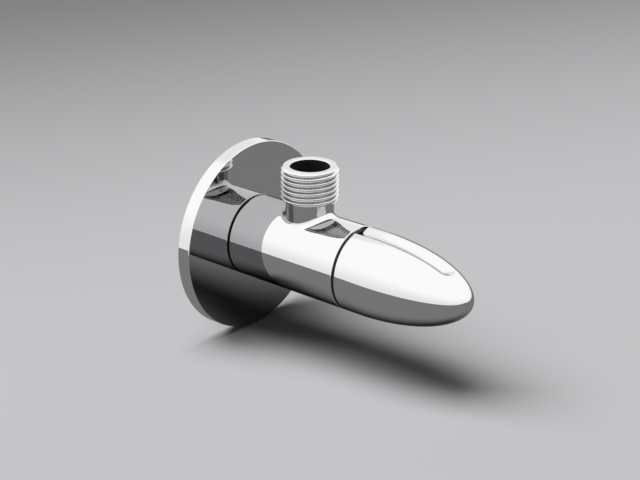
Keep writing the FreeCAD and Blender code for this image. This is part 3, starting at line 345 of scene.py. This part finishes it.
THREAD_PITCH = 0.001814
THREAD_ROUNDING = 0.1373
THREAD_FLANK = math.radians(27.5)
THREAD_CREST = 0.0104775
THREAD_CHAMFER = 0.001
THREAD_FOOT_CHAMFER = 0.0005
THREAD_COLUMNS = 132
THREAD_ROWS = 28
THREAD_CROWDING = 0.7
SEAM_DISTANCE = 1e-6
ALONG = 1
UP = 2
OUTLET_BEHIND_FRONT = 0.02255
OUTLET_NECK_RADIUS = 0.0086
OUTLET_NECK_HEIGHT = 0.0055
OUTLET_SADDLE_ROUND = 0.0025
OUTLET_BORE_RADIUS = 0.0071
OUTLET_MOUTH_CHAMFER = 0.0004
SADDLE_STEPS = 12
SIDE_COLUMNS = 36
END_COLUMNS = 120
BARREL_RINGS = 48
BODY_EDGE_ROUND = 0.0003
BODY_EDGE_STEPS = 5
SHANK_RELIEF_RADIUS = 0.009
SHANK_RUN_OUT = 0.0014775
INLET_THREAD_END = 0.014
INLET_BORE_RADIUS = 0.0065
SEAT_PLACE = -0.019
CHAMBER_RADIUS = 0.011
CHAMBER_END = -0.039
BUSH_SEAT_RADIUS = 0.010
COUNTERBORE_RADIUS = 0.0142
COUNTERBORE_DEPTH = 0.003
CUT_PAST = 0.001
BORE_SEGMENTS = 128
# Painted shade: the colour the bores are painted, near-black.
BORE_PAINTED_SHADE = (0.012, 0.014, 0.013)
BORE_ROUGHNESS = 0.6
BORE_MARGIN = 0.00003
THREAD_ROUGHNESS = 0.25
# Colour of the threads where other chrome mirrors them: a painted darkening of reflections.
THREAD_PAINTED_DARK_IN_MIRROR = (0.62, 0.62, 0.63)


def new_rule(name, inputs):
    """A geometry tree with named number inputs; returns its nodes and their links."""
    group = bpy.data.node_groups.new(name, "GeometryNodeTree")
    group.interface.new_socket("Geometry", in_out="OUTPUT", socket_type="NodeSocketGeometry")
    for label, value in inputs.items():
        kind = "NodeSocketInt" if isinstance(value, int) else "NodeSocketFloat"
        group.interface.new_socket(label, in_out="INPUT", socket_type=kind)
    nodes = Nodes(group)
    entry = nodes.add("NodeGroupInput", {}, {})
    return nodes, {label: entry.beside(label) for label in inputs}


def end_rule(nodes, sheet, place, finish):
    """Lay a grid's points by a rule, close its seams and finish the tree."""
    laid = nodes.add("GeometryNodeSetPosition", {}, {"Geometry": sheet, "Position": place})
    closed = nodes.add("GeometryNodeMergeByDistance", {}, {"Geometry": laid, "Distance": SEAM_DISTANCE})
    whole = nodes.add("GeometryNodeRealizeInstances", {}, {"Geometry": closed})
    painted = nodes.add("GeometryNodeSetMaterial", {}, {"Geometry": whole, "Material": finish})
    nodes.add("NodeGroupOutput", {}, {"Geometry": painted})


def split(nodes, vector):
    """A vector's three parts."""
    x = nodes.add("ShaderNodeSeparateXYZ", {}, {"Vector": vector})
    return x, x.beside("Y"), x.beside("Z")


def unit_grid(nodes, columns, rows):
    """A grid of columns and rows, with each point's share across and along."""
    inputs = {"Size X": 1.0, "Size Y": 1.0, "Vertices X": columns + 1, "Vertices Y": rows + 1}
    sheet = nodes.add("GeometryNodeMeshGrid", {}, inputs, "Mesh")
    x, y, _ = split(nodes, nodes.add("GeometryNodeInputPosition", {}, {}))
    return sheet, x + 0.5, y + 0.5


def follow_rule(nodes, inputs):
    """Run a tree with these inputs and return the plain mesh that it makes."""
    carrier = add_object("carrier", bpy.data.meshes.new("carrier"))
    modifier = carrier.modifiers.new("rule", "NODES")
    modifier.node_group = nodes.tree
    for item in nodes.tree.interface.items_tree:
        if item.in_out == "INPUT":
            modifier[item.identifier] = inputs[item.name]
    mesh = plain_mesh(carrier)
    carrier.modifiers.remove(modifier)
    bpy.data.objects.remove(carrier)
    return mesh


thread_inputs = {
    "Crest Radius": THREAD_CREST,
    "Pitch": THREAD_PITCH,
    "Rounding": THREAD_ROUNDING,
    "Start": 0.0,
    "Start Radius": THREAD_CREST - THREAD_FOOT_CHAMFER,
    "End": 0.0,
    "End Radius": THREAD_CREST - THREAD_CHAMFER,
    "Columns": THREAD_COLUMNS,
    "Rows Per Turn": THREAD_ROWS,
}


def thread_drop(pitch, rounding, off):
    """How far the thread's form falls at a distance off a crest, or rises off a root."""
    radius = pitch * rounding
    round_part = off.least(radius * math.cos(THREAD_FLANK))
    flank_part = off - round_part
    return radius - (radius * radius - round_part * round_part).root() + flank_part / math.tan(THREAD_FLANK)


def make_thread_rule():
    """A sleeve round +Z whose rows climb with the thread and stop at its two ends."""
    nodes, given = new_rule("pipe_thread", thread_inputs)
    pitch = given["Pitch"]
    turns = ((given["End"] - given["Start"]) / pitch).rounded_up() + 1.0
    sheet, across, along = unit_grid(nodes, given["Columns"], turns * given["Rows Per Turn"])
    row = given["Start"] / pitch - 1.0 + along * turns
    # Two waves a turn crowd the rows at the crests and the roots.
    row = row - (row * (4 * math.pi)).sine() * (THREAD_CROWDING / (4 * math.pi))
    climb = (row + across) * pitch
    height = climb.most(given["Start"]).least(given["End"])
    off_crest = abs((height / pitch - across).fraction() - 0.5) * pitch
    near = off_crest.least(pitch / 2.0 - off_crest)
    drop = thread_drop(pitch, given["Rounding"], near)
    half_depth = thread_drop(pitch, given["Rounding"], pitch / 4.0)
    past_flank = off_crest.over(pitch / 4.0)
    form = drop + past_flank * (half_depth - drop) * 2.0
    radius = given["Crest Radius"] - form
    radius = radius.least(given["Start Radius"] + height - given["Start"])
    radius = radius.least(given["End Radius"] + given["End"] - height)
    angle = across * (2 * math.pi)
    inputs = {"X": radius * angle.cosine(), "Y": radius * angle.sine(), "Z": height}
    place = nodes.add("ShaderNodeCombineXYZ", {}, inputs)
    end_rule(nodes, sheet, place, polished_chrome)
    return nodes


def rim_edges(made, axis, place):
    """The open edges that lie in one plane across an axis."""
    found = []
    for edge in made.edges:
        if edge.is_boundary and all(abs(vert.co[axis] - place) < SEAM_DISTANCE for vert in edge.verts):
            found.append(edge)
    return found


def bridge(made, axis, first, second):
    """Join the open rims at two places along an axis."""
    edges = {*rim_edges(made, axis, first), *rim_edges(made, axis, second)}
    bmesh.ops.bridge_loops(made, edges=list(edges))


def lay_strip(made, rows, wrap=False):
    """Faces between neighbouring rows of points, each as long as the next."""
    laid = [[made.verts.new(point) for point in row] for row in rows]
    count = len(laid[0])
    for first, second in zip(laid, laid[1:]):
        for here in range(count if wrap else count - 1):
            there = (here + 1) % count
            made.faces.new((first[here], second[here], second[there], first[there]))


def cut(mesh, *tools):
    """A mesh with closed tools cut out of it."""
    piece = add_object("blank", mesh)
    cutters = []
    for tool in tools:
        cutter = add_object("cutter", tool)
        modifier = piece.modifiers.new("cut", "BOOLEAN")
        modifier.operation = "DIFFERENCE"
        modifier.solver = "EXACT"
        modifier.object = cutter
        cutters.append(cutter)
    result = plain_mesh(piece)
    for item in [piece, *cutters]:
        bpy.data.objects.remove(item)
    return result


body_low, body_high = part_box("valve_body")
barrel_radius = -body_low.x
barrel_front = body_low.y
barrel_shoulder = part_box("flange_washer")[0].y
outlet_top = body_high.z
outlet_place = barrel_front + OUTLET_BEHIND_FRONT
thread_foot = barrel_radius + OUTLET_NECK_HEIGHT


def barrel_boundary():
    """The unrolled barrel's edge as (angle round the outlet, arc from the top, y) columns."""
    half_turn = math.pi * barrel_radius
    low = barrel_front + BODY_EDGE_ROUND - outlet_place
    high = barrel_shoulder - BODY_EDGE_ROUND - outlet_place
    corners = [(half_turn, low), (half_turn, high), (-half_turn, high), (-half_turn, low)]
    counts = [SIDE_COLUMNS, END_COLUMNS, SIDE_COLUMNS, END_COLUMNS]
    columns = []
    for side, count in enumerate(counts):
        start = corners[side]
        end = corners[(side + 1) % 4]
        for step in range(count):
            share = step / count
            angle = math.radians(-45 + 90 * (side + share))
            arc_length = start[0] + (end[0] - start[0]) * share
            along = start[1] + (end[1] - start[1]) * share
            columns.append((angle, arc_length, along))
    return columns


def barrel_point(arc_length, along):
    """A point of the barrel, by the arc from its top line and the place along it."""
    turn = arc_length / barrel_radius
    return (barrel_radius * math.sin(turn), outlet_place + along, barrel_radius * math.cos(turn))


def lay_barrel(made):
    """The neck, the saddle round and the whole barrel, as rows that go out from the outlet."""
    columns = barrel_boundary()
    ball_reach = OUTLET_NECK_RADIUS + OUTLET_SADDLE_ROUND
    ball_height = barrel_radius + OUTLET_SADDLE_ROUND
    rows = [[] for _ in range(1 + SADDLE_STEPS + 1 + BARREL_RINGS)]
    for angle, far_arc, far_along in columns:
        outward = Vector((math.cos(angle), math.sin(angle), 0))
        across = ball_reach * outward.x
        along = ball_reach * outward.y
        centre = Vector((across, outlet_place + along, math.sqrt(ball_height**2 - across**2)))
        to_neck = -outward
        to_barrel = Vector((-across, 0, -centre.z)).normalized()
        neck = outward * OUTLET_NECK_RADIUS
        rows[0].append((neck.x, outlet_place + neck.y, thread_foot))
        for step in range(SADDLE_STEPS + 1):
            way = to_neck.slerp(to_barrel, step / SADDLE_STEPS)
            rows[1 + step].append(centre + way * OUTLET_SADDLE_ROUND)
        near_arc = barrel_radius * math.asin(across / ball_height)
        for ring in range(1, BARREL_RINGS + 1):
            share = ring / BARREL_RINGS
            arc_length = near_arc + (far_arc - near_arc) * share
            station = along + (far_along - along) * share
            rows[1 + SADDLE_STEPS + ring].append(barrel_point(arc_length, station))
    lay_strip(made, rows, wrap=True)


def lay_end(made, outline, front):
    """Rows that carry the barrel's end ring on round its edge, by an outline of (radius, y)."""
    rows = []
    for radius, y in outline:
        row = []
        for step in range(END_COLUMNS + 1):
            turn = math.pi - 2 * math.pi * step / END_COLUMNS
            if front:
                turn = -turn
            row.append((radius * math.sin(turn), y, radius * math.cos(turn)))
        rows.append(row)
    lay_strip(made, rows)


def raised(mesh, place):
    """Turn a mesh made about the valve's axis so that it stands upright at a place along it."""
    mesh.transform(Matrix.Translation((0, place, 0)) @ Matrix.Rotation(math.radians(90), 4, "X"))
    return mesh


def make_body_mesh():
    """The casting's outside with both threads, then its bores cut out."""
    thread = make_thread_rule()
    outlet = follow_rule(thread, {**thread_inputs, "Start": thread_foot, "End": outlet_top})
    outlet.transform(Matrix.Translation((0, outlet_place, 0)))
    inlet_inputs = {
        **thread_inputs,
        "Start": -SHANK_RUN_OUT,
        "Start Radius": SHANK_RELIEF_RADIUS,
        "End": INLET_THREAD_END,
    }
    inlet = follow_rule(thread, inlet_inputs)
    inlet.transform(Matrix.Rotation(math.radians(-90), 4, "X"))

    made = bmesh.new()
    lay_barrel(made)
    inner = barrel_radius - BODY_EDGE_ROUND
    front_outline = arc(inner, barrel_front + BODY_EDGE_ROUND, BODY_EDGE_ROUND, 0, -90, BODY_EDGE_STEPS)
    lay_end(made, front_outline, front=True)
    rear_outline = arc(inner, barrel_shoulder - BODY_EDGE_ROUND, BODY_EDGE_ROUND, 0, 90, BODY_EDGE_STEPS)
    relief_end = -2 * SHANK_RUN_OUT
    rear_outline += [(SHANK_RELIEF_RADIUS, barrel_shoulder), (SHANK_RELIEF_RADIUS, relief_end)]
    lay_end(made, rear_outline, front=False)
    bmesh.ops.remove_doubles(made, verts=made.verts, dist=MERGE_DISTANCE)
    made.from_mesh(outlet)
    made.from_mesh(inlet)
    bridge(made, UP, thread_foot, thread_foot)
    bridge(made, ALONG, relief_end, -SHANK_RUN_OUT)
    for axis, place in ((ALONG, barrel_front), (UP, outlet_top), (ALONG, INLET_THREAD_END)):
        bmesh.ops.contextual_create(made, geom=rim_edges(made, axis, place))
    bmesh.ops.recalc_face_normals(made, faces=made.faces)
    blank = written(made, "casting")

    mouth = outlet_top - OUTLET_MOUTH_CHAMFER
    floor = barrel_front + COUNTERBORE_DEPTH
    waterway = [
        (0, INLET_THREAD_END + CUT_PAST),
        (INLET_BORE_RADIUS, INLET_THREAD_END + CUT_PAST),
        (INLET_BORE_RADIUS, SEAT_PLACE),
        (CHAMBER_RADIUS, SEAT_PLACE),
        (CHAMBER_RADIUS, CHAMBER_END),
        (BUSH_SEAT_RADIUS, CHAMBER_END),
        (BUSH_SEAT_RADIUS, floor),
        (COUNTERBORE_RADIUS, floor),
        (COUNTERBORE_RADIUS, barrel_front - CUT_PAST),
        (0, barrel_front - CUT_PAST),
    ]
    bore_top = outlet_top + CUT_PAST
    bore_outline = [
        (0, 0),
        (OUTLET_BORE_RADIUS, 0),
        (OUTLET_BORE_RADIUS, mouth),
        (OUTLET_BORE_RADIUS + OUTLET_MOUTH_CHAMFER + CUT_PAST, bore_top),
        (0, bore_top),
    ]
    bore = raised(revolve("bore", bore_outline, BORE_SEGMENTS, closed=False), outlet_place)
    return cut(blank, revolve("waterway", waterway, BORE_SEGMENTS, closed=False), bore)


def plated_casting(nodes):
    """Polished chrome outside and satin on the cut threads, whose reflections in other chrome are painted
    darker; the bores are painted near-black, dull and not metallic, as painted shade.
    """
    x, y, z = split(nodes, nodes.add("ShaderNodeTexCoord", {}, {}, "Object"))
    off_axis = (x * x + z * z).root()
    off_outlet = (x * x + (y - outlet_place) * (y - outlet_place)).root()
    in_outlet = (OUTLET_BORE_RADIUS + BORE_MARGIN - off_outlet).over(0.0) * z.over(0.0)
    in_inlet = (INLET_BORE_RADIUS + BORE_MARGIN - off_axis).over(0.0)
    in_front = (COUNTERBORE_RADIUS + BORE_MARGIN - off_axis).over(0.0)
    in_front = in_front * (SEAT_PLACE + BORE_MARGIN - y).over(0.0)
    inside = in_outlet.most(in_inlet).most(in_front)
    on_outlet = (z - thread_foot).over(0.0) * (outlet_top - BORE_MARGIN - z).over(0.0)
    on_inlet = (y + SHANK_RUN_OUT).over(0.0) * (INLET_THREAD_END - BORE_MARGIN - y).over(0.0)
    on_thread = on_outlet.most(on_inlet)
    finish = polished(nodes)
    # Painted reflection: the threads are painted darker where other chrome mirrors them.
    thread = tinted(nodes, seen_in_mirror(nodes), CHROME_HAZY, THREAD_PAINTED_DARK_IN_MIRROR)
    outside = tinted(nodes, on_thread, finish["Base Color"], thread)
    # Painted shade: the bores are painted near-black, dull and not metallic.
    finish["Base Color"] = tinted(nodes, inside, outside, BORE_PAINTED_SHADE)
    finish["Metallic"] = 1.0 - inside
    finish["Roughness"] = finish["Roughness"] + on_thread * THREAD_ROUGHNESS + inside * BORE_ROUGHNESS
    return finish


casting_chrome = new_finish("casting_chrome", plated_casting)
body_mesh = make_body_mesh()
new_piece("threaded_casting", body_mesh, casting_chrome, "valve", "valve_body")


# Headwork: the quarter-turn ceramic unit that screws into the casting. Turned brass bush,
# spindle and stop ring, two lapped ceramic discs, rubber seals and plastic rings.

BRASS_DEEP = (0.62, 0.45, 0.20)
BRASS_LIGHT = (0.74, 0.57, 0.29)
LATHE_FEED = 0.00012
LATHE_RELIEF = 0.000006
TARNISH_SCALE = 300.0
BRASS_ROUGHNESS = 0.24
BRASS_ROUGHNESS_SPREAD = 0.12
CERAMIC = (0.80, 0.79, 0.75), (0.86, 0.85, 0.82)
PLASTIC = (0.78, 0.78, 0.74), (0.84, 0.84, 0.81)
NYLON = (0.075, 0.075, 0.075), (0.105, 0.105, 0.105)
FIBRE = (0.36, 0.08, 0.05), (0.50, 0.16, 0.10)
STEEL = (0.36, 0.36, 0.37), (0.48, 0.48, 0.49)
ROLLED = (1.0, 12.0, 1.0)


def turned(nodes):
    """Brass from the lathe, with the tool's fine rings round the valve's axis."""
    x, y, z = split(nodes, nodes.add("ShaderNodeTexCoord", {}, {}, "Object"))
    reach = (x * x + z * z).root()
    rings = ((y + reach) * (2 * math.pi / LATHE_FEED)).sine() * 0.5 + 0.5
    tarnish = grain(nodes, TARNISH_SCALE)
    height = {"Strength": RELIEF_STRENGTH, "Distance": LATHE_RELIEF, "Height": rings}
    return {
        "Base Color": tinted(nodes, tarnish, BRASS_DEEP, BRASS_LIGHT),
        "Metallic": 1.0,
        "Roughness": BRASS_ROUGHNESS + tarnish * BRASS_ROUGHNESS_SPREAD,
        "Normal": nodes.add("ShaderNodeBump", {}, height),
    }


turned_brass = new_finish("turned_brass", turned)
paint_nodes(turned_brass, "cartridge_housing", "spindle", "stop_ring")
lapped = grained(*CERAMIC, scale=1800.0, roughness=(0.12, 0.2), relief=0.000004)
ceramic = new_finish("ceramic", lapped)
paint_nodes(ceramic, "fixed_disc", "turning_disc")
moulded = grained(*PLASTIC, scale=500.0, roughness=(0.35, 0.45), relief=0.00001)
white_plastic = new_finish("white_plastic", moulded)
paint_nodes(white_plastic, "seal_support", "friction_washer", "spline_insert")
sliding = grained(*NYLON, scale=1500.0, roughness=(0.5, 0.65), relief=0.00001, shine=0.2)
black_nylon = new_finish("black_nylon", sliding)
paint_nodes(black_nylon, "glide_ring")
pressed = grained(*FIBRE, scale=2200.0, roughness=(0.7, 0.9), relief=0.00004, stretch=ROLLED)
red_fibre = new_finish("red_fibre", pressed)
paint_nodes(red_fibre, "head_gasket")
steel = {"scale": 900.0, "roughness": (0.3, 0.45), "relief": 0.000005, "metallic": 1.0, "stretch": ROLLED}
spring_steel = new_finish("spring_steel", grained(*STEEL, **steel))
paint_nodes(spring_steel, "circlip", "grub_screw")
paint_nodes(black_rubber, "seat_washer", "lower_o_ring", "upper_o_ring")


# Handle: one zinc die casting, polished and plated, shaped like a bullet, with a long thumb
# groove on top. It turns a quarter turn and is held on the insert by a grub screw from below.

HANDLE_COLLAR = 0.00555
HANDLE_EDGE_ROUND = 0.0003
GROOVE_DEPTH = 0.00205
GROOVE_REACH = 0.0393
GROOVE_END_RADIUS = 0.004
GROOVE_FLOOR_RADIUS = 0.0025
GROOVE_FLANK = math.radians(24)
GROOVE_RIM = 0.0003
HANDLE_COLUMNS = 300
HANDLE_ROWS = 220
COLLAR_ROWS = 16
COLUMN_CROWDING = 0.2
ROW_CROWDING = 0.6
ROW_CROWD_PLACE = 0.55
LEAST_FALL = 0.01
END_PASSES = 5
HEXAGON_ROOM_RADIUS = 0.011997
HEXAGON_ROOM_END = -0.0590
NECK_ROOM_RADIUS = 0.0082
INSERT_START = -0.0666
INSERT_ROOM_RADIUS = 0.00695
INSERT_END = -0.0786
SCREW_PLACE = -0.0730
SCREW_HOLE_RADIUS = 0.0025
SCREW_HOLE_SEGMENTS = 48

handle_low, handle_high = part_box("handle")
handle_inputs = {
    "Base": handle_high.y,
    "Radius": handle_high.x,
    "Length": handle_high.y - handle_low.y,
    "Collar Length": HANDLE_COLLAR,
    "Edge Round": HANDLE_EDGE_ROUND,
    "Groove Depth": GROOVE_DEPTH,
    "Groove End": GROOVE_REACH - GROOVE_END_RADIUS,
    "Floor Radius": GROOVE_FLOOR_RADIUS,
    "Rim Softness": GROOVE_RIM,
    "Columns": HANDLE_COLUMNS,
    "Rows": HANDLE_ROWS,
}


def groove_section(off, floor_radius):
    """Height of the groove's section over its floor, at a distance off its middle line."""
    foot = floor_radius * math.sin(GROOVE_FLANK)
    near = off.least(foot)
    round_part = floor_radius - (floor_radius * floor_radius - near * near).root()
    return round_part + (off - foot).most(0.0) * math.tan(GROOVE_FLANK)


def make_handle_rule():
    """A bullet of a straight collar and half an ellipse, with its thumb groove sunk in."""
    nodes, given = new_rule("bullet_handle", handle_inputs)
    radius = given["Radius"]
    collar = given["Collar Length"]
    sheet, across, along = unit_grid(nodes, given["Columns"], given["Rows"])
    side = 1.0 - across * 2.0
    angle = (side * COLUMN_CROWDING + side * side * side * (1 - COLUMN_CROWDING)) * math.pi
    share = COLLAR_ROWS / HANDLE_ROWS
    up_collar = (along / share).least(1.0)
    up_nose = ((along - share) / (1 - share)).most(0.0)
    lag = (up_nose * (2 * math.pi) - 2 * math.pi * ROW_CROWD_PLACE).sine()
    lag = lag + math.sin(2 * math.pi * ROW_CROWD_PLACE)
    bend = (up_nose - lag * (ROW_CROWDING / (2 * math.pi))) * (math.pi / 2)
    station = collar * up_collar * up_collar + (given["Length"] - collar) * bend.sine()
    edge = given["Edge Round"]
    short = (edge - station).most(0.0)
    full = radius * bend.cosine()
    girth = (full - edge + (edge * edge - short * short).root()).least(full)
    out = girth * angle.sine()
    crown = girth * angle.cosine()

    floor = radius - given["Groove Depth"]
    reach = given["Length"] - given["Groove Depth"] - collar
    past = (station - collar).most(0.0) / reach
    fall = (1.0 - past * past).most(LEAST_FALL).root()
    steepness = floor / reach * past / fall
    tilt = (steepness * steepness + 1.0).root()
    floor_radius = given["Floor Radius"]
    swept = floor * fall + groove_section(abs(out), floor_radius) * tilt

    end = given["Groove End"]
    end_past = (end - collar) / reach
    end_fall = (1.0 - end_past * end_past).root()
    end_steepness = floor / reach * end_past / end_fall
    end_level = 1.0 / (end_steepness * end_steepness + 1.0).root()
    end_drop = end_steepness * end_level
    end_height = floor * end_fall
    beyond = station - end
    height = end_height - beyond * end_steepness
    # The round end stands square to the falling floor, so its height is found in a few passes.
    for _ in range(END_PASSES):
        ahead = beyond * end_level - (height - end_height) * end_drop
        off = (out * out + ahead * ahead).root()
        height = end_height + (groove_section(off, floor_radius) - beyond * end_drop) / end_level
    ahead = beyond * end_level - (height - end_height) * end_drop
    rounded = ahead.over(0.0)
    groove = swept + (height - swept) * rounded

    soft = given["Rim Softness"]
    near = (soft - abs(crown - groove)).most(0.0)
    top = crown.least(groove) - near * near / (soft * 4.0)
    inputs = {"X": out, "Y": given["Base"] - station, "Z": top}
    place = nodes.add("ShaderNodeCombineXYZ", {}, inputs)
    end_rule(nodes, sheet, place, polished_chrome)
    return nodes


def make_handle_mesh():
    """The bullet, closed at its base, with the room for the headwork and the screw hole cut out."""
    shell = follow_rule(make_handle_rule(), handle_inputs)
    made = bmesh.new()
    made.from_mesh(shell)
    bmesh.ops.contextual_create(made, geom=rim_edges(made, ALONG, handle_high.y))
    blank = written(made, "bullet")
    behind = handle_high.y + CUT_PAST
    room = [
        (0, behind),
        (HEXAGON_ROOM_RADIUS, behind),
        (HEXAGON_ROOM_RADIUS, HEXAGON_ROOM_END),
        (NECK_ROOM_RADIUS, HEXAGON_ROOM_END),
        (NECK_ROOM_RADIUS, INSERT_START),
        (INSERT_ROOM_RADIUS, INSERT_START),
        (INSERT_ROOM_RADIUS, INSERT_END),
        (0, INSERT_END),
    ]
    below = -handle_high.x - CUT_PAST
    drill = [(0, 0), (SCREW_HOLE_RADIUS, 0), (SCREW_HOLE_RADIUS, below), (0, below)]
    hole = raised(revolve("screw_hole", drill, SCREW_HOLE_SEGMENTS, closed=False), SCREW_PLACE)
    return cut(blank, revolve("headwork_room", room, BORE_SEGMENTS, closed=False), hole)


handle_mesh = make_handle_mesh()
new_piece("bullet_handle", handle_mesh, polished_chrome, "handle_set", "handle")


# Floor and light. The valve hangs just over a pale floor, and one soft lamp on the left throws its shadow
# to the right. The floor is painted darker towards the far side, a painted light falloff. Where the chrome
# mirrors it, the floor is painted darker still, a painted reflection, and ends not far off; over it the
# chrome mirrors a bright room with one duller side.

FLOOR_DROP = 0.0002
FLOOR_SIZE = 30.0
FLOOR_COLOUR = (0.565, 0.565, 0.578)
# Painted light falloff: the floor's colour towards the far side.
FLOOR_PAINTED_FALLOFF_COLOUR = (0.205, 0.205, 0.210)
FLOOR_FAR_START = -0.02
FLOOR_FAR_END = 0.70
FLOOR_FAR_SIDE = 0.5
# Painted reflection: the floor's colour where the chrome mirrors it.
FLOOR_PAINTED_DARK_IN_MIRROR = (0.183, 0.183, 0.187)
MIRRORED_FLOOR_EDGE = -0.17
ROOM_LOW = (0.80, 0.80, 0.81)
ROOM_HIGH = (1.0, 1.0, 1.0)
ROOM_LOW_END = -0.18
ROOM_HIGH_START = 0.42
ROOM_DULL = (0.82, 0.82, 0.825)
DULL_WAY = Vector((0.50, 0.68, 0.53))
DULL_START = 0.885
DULL_END = 0.945
FILL_COLOUR = (0.03, 0.03, 0.031)
BACKDROP_COLOUR = (0.16, 0.16, 0.165)
LAMP_DISTANCE = 6.0
LAMP_WIDTH = 6.7
LAMP_DEPTH = 3.8
LAMP_LEAN = 0.45
LAMP_BEHIND = 0.05
LAMP_TWIST = -0.228
LAMP_POWER = 475.0
LAMP_TARGET = Vector((0, -0.05, 0))
GROUND_RIGHT = Vector((0.64418385, -0.76483433, 0))
GROUND_AHEAD = Vector((0.76483433, 0.64418385, 0))

floor_mesh = bpy.data.meshes.new("studio_floor")
half = FLOOR_SIZE / 2
floor_height = flange_low.z - FLOOR_DROP
sides = ((-half, -half), (half, -half), (half, half), (-half, half))
corners = [(x, y, floor_height) for x, y in sides]
floor_mesh.from_pydata(corners, [], [(0, 1, 2, 3)])
floor = add_object("studio_floor", floor_mesh)

floor_paint = bpy.data.materials.new("studio_floor")
nodes = bare_nodes(floor_paint)
x, y, _ = split(nodes, nodes.add("ShaderNodeTexCoord", {}, {}, "Object"))
# Painted light falloff: the floor is painted darker towards the far side.
far_way = GROUND_AHEAD - GROUND_RIGHT * FLOOR_FAR_SIDE
far = (x * far_way.x + y * far_way.y).ramp(FLOOR_FAR_START, FLOOR_FAR_END)
mirrored = seen_in_mirror(nodes)
seen_colour = tinted(nodes, far, FLOOR_COLOUR, FLOOR_PAINTED_FALLOFF_COLOUR)
# Painted reflection: the floor is painted darker where the chrome mirrors it.
colour = tinted(nodes, mirrored, seen_colour, FLOOR_PAINTED_DARK_IN_MIRROR)
matt = nodes.add("ShaderNodeBsdfDiffuse", {}, {"Color": colour})
clear = nodes.add("ShaderNodeBsdfTransparent", {}, {})
beyond = mirrored * (MIRRORED_FLOOR_EDGE - x).over(0.0)
surface = nodes.add("ShaderNodeMixShader", {}, {0: beyond, 1: matt, 2: clear})
nodes.add("ShaderNodeOutputMaterial", {}, {"Surface": surface})
floor_mesh.materials.append(floor_paint)

world = bpy.data.worlds.new("studio")
bpy.context.scene.world = world
nodes = bare_nodes(world)
x, y, rise = split(nodes, nodes.add("ShaderNodeTexCoord", {}, {}, "Generated"))
dull = (x * DULL_WAY.x + y * DULL_WAY.y + rise * DULL_WAY.z).ramp(DULL_START, DULL_END)
bright = tinted(nodes, rise.ramp(ROOM_LOW_END, ROOM_HIGH_START), ROOM_LOW, ROOM_HIGH)
room = tinted(nodes, dull, bright, ROOM_DULL)
mirrored = seen_in_mirror(nodes)
first_hand = 1.0 - mirrored.beside("Diffuse Depth").least(1.0)
unseen = tinted(nodes, mirrored * first_hand, FILL_COLOUR, room)
light = tinted(nodes, mirrored.beside("Is Camera Ray"), unseen, BACKDROP_COLOUR)
backdrop = nodes.add("ShaderNodeBackground", {}, {"Color": light})
nodes.add("ShaderNodeOutputWorld", {}, {"Surface": backdrop})

lamp_data = bpy.data.lights.new("soft_lamp", "AREA")
lamp_data.shape = "RECTANGLE"
lamp_data.size = LAMP_WIDTH
lamp_data.size_y = LAMP_DEPTH
lamp_data.energy = LAMP_POWER
lamp = add_object("soft_lamp", lamp_data)
# The chrome mirrors the room in the lamp's place.
lamp.visible_glossy = False
lamp_way = (Vector((0, 0, 1)) - GROUND_RIGHT * LAMP_LEAN + GROUND_AHEAD * LAMP_BEHIND).normalized()
lamp_side = (GROUND_RIGHT - lamp_way * GROUND_RIGHT.dot(lamp_way)).normalized()
lamp_frame = Matrix((lamp_side, lamp_way.cross(lamp_side), lamp_way)).transposed()
lamp_turn = lamp_frame @ Matrix.Rotation(LAMP_TWIST, 3, "Z")
lamp.matrix_world = Matrix.Translation(LAMP_TARGET + lamp_way * LAMP_DISTANCE) @ lamp_turn.to_4x4()


# Camera: where the photograph was taken from, left of the valve, above it and in front. Its
# place and directions are those of a pinhole camera fitted to the valve's outlines.

CAMERA_LENS = 86.43
SENSOR_WIDTH = 36.0
CAMERA_PLACE = Vector((-0.390025, -0.362461, 0.212049))
VIEW_RIGHT = Vector((0.64418385, -0.76483433, 0.00745682))
VIEW_UP = Vector((0.28277939, 0.24720747, 0.92678168))
VIEW_AHEAD = Vector((0.71067783, 0.59490916, -0.37552645))
camera_data = bpy.data.cameras.new("camera")
camera_data.lens = CAMERA_LENS
camera_data.sensor_width = SENSOR_WIDTH
camera = add_object("camera", camera_data)
turn = Matrix((VIEW_RIGHT, VIEW_UP, -VIEW_AHEAD)).transposed()
camera.matrix_world = Matrix.Translation(CAMERA_PLACE) @ turn.to_4x4()
bpy.context.scene.camera = camera
bpy.context.scene.view_settings.view_transform = "Standard"
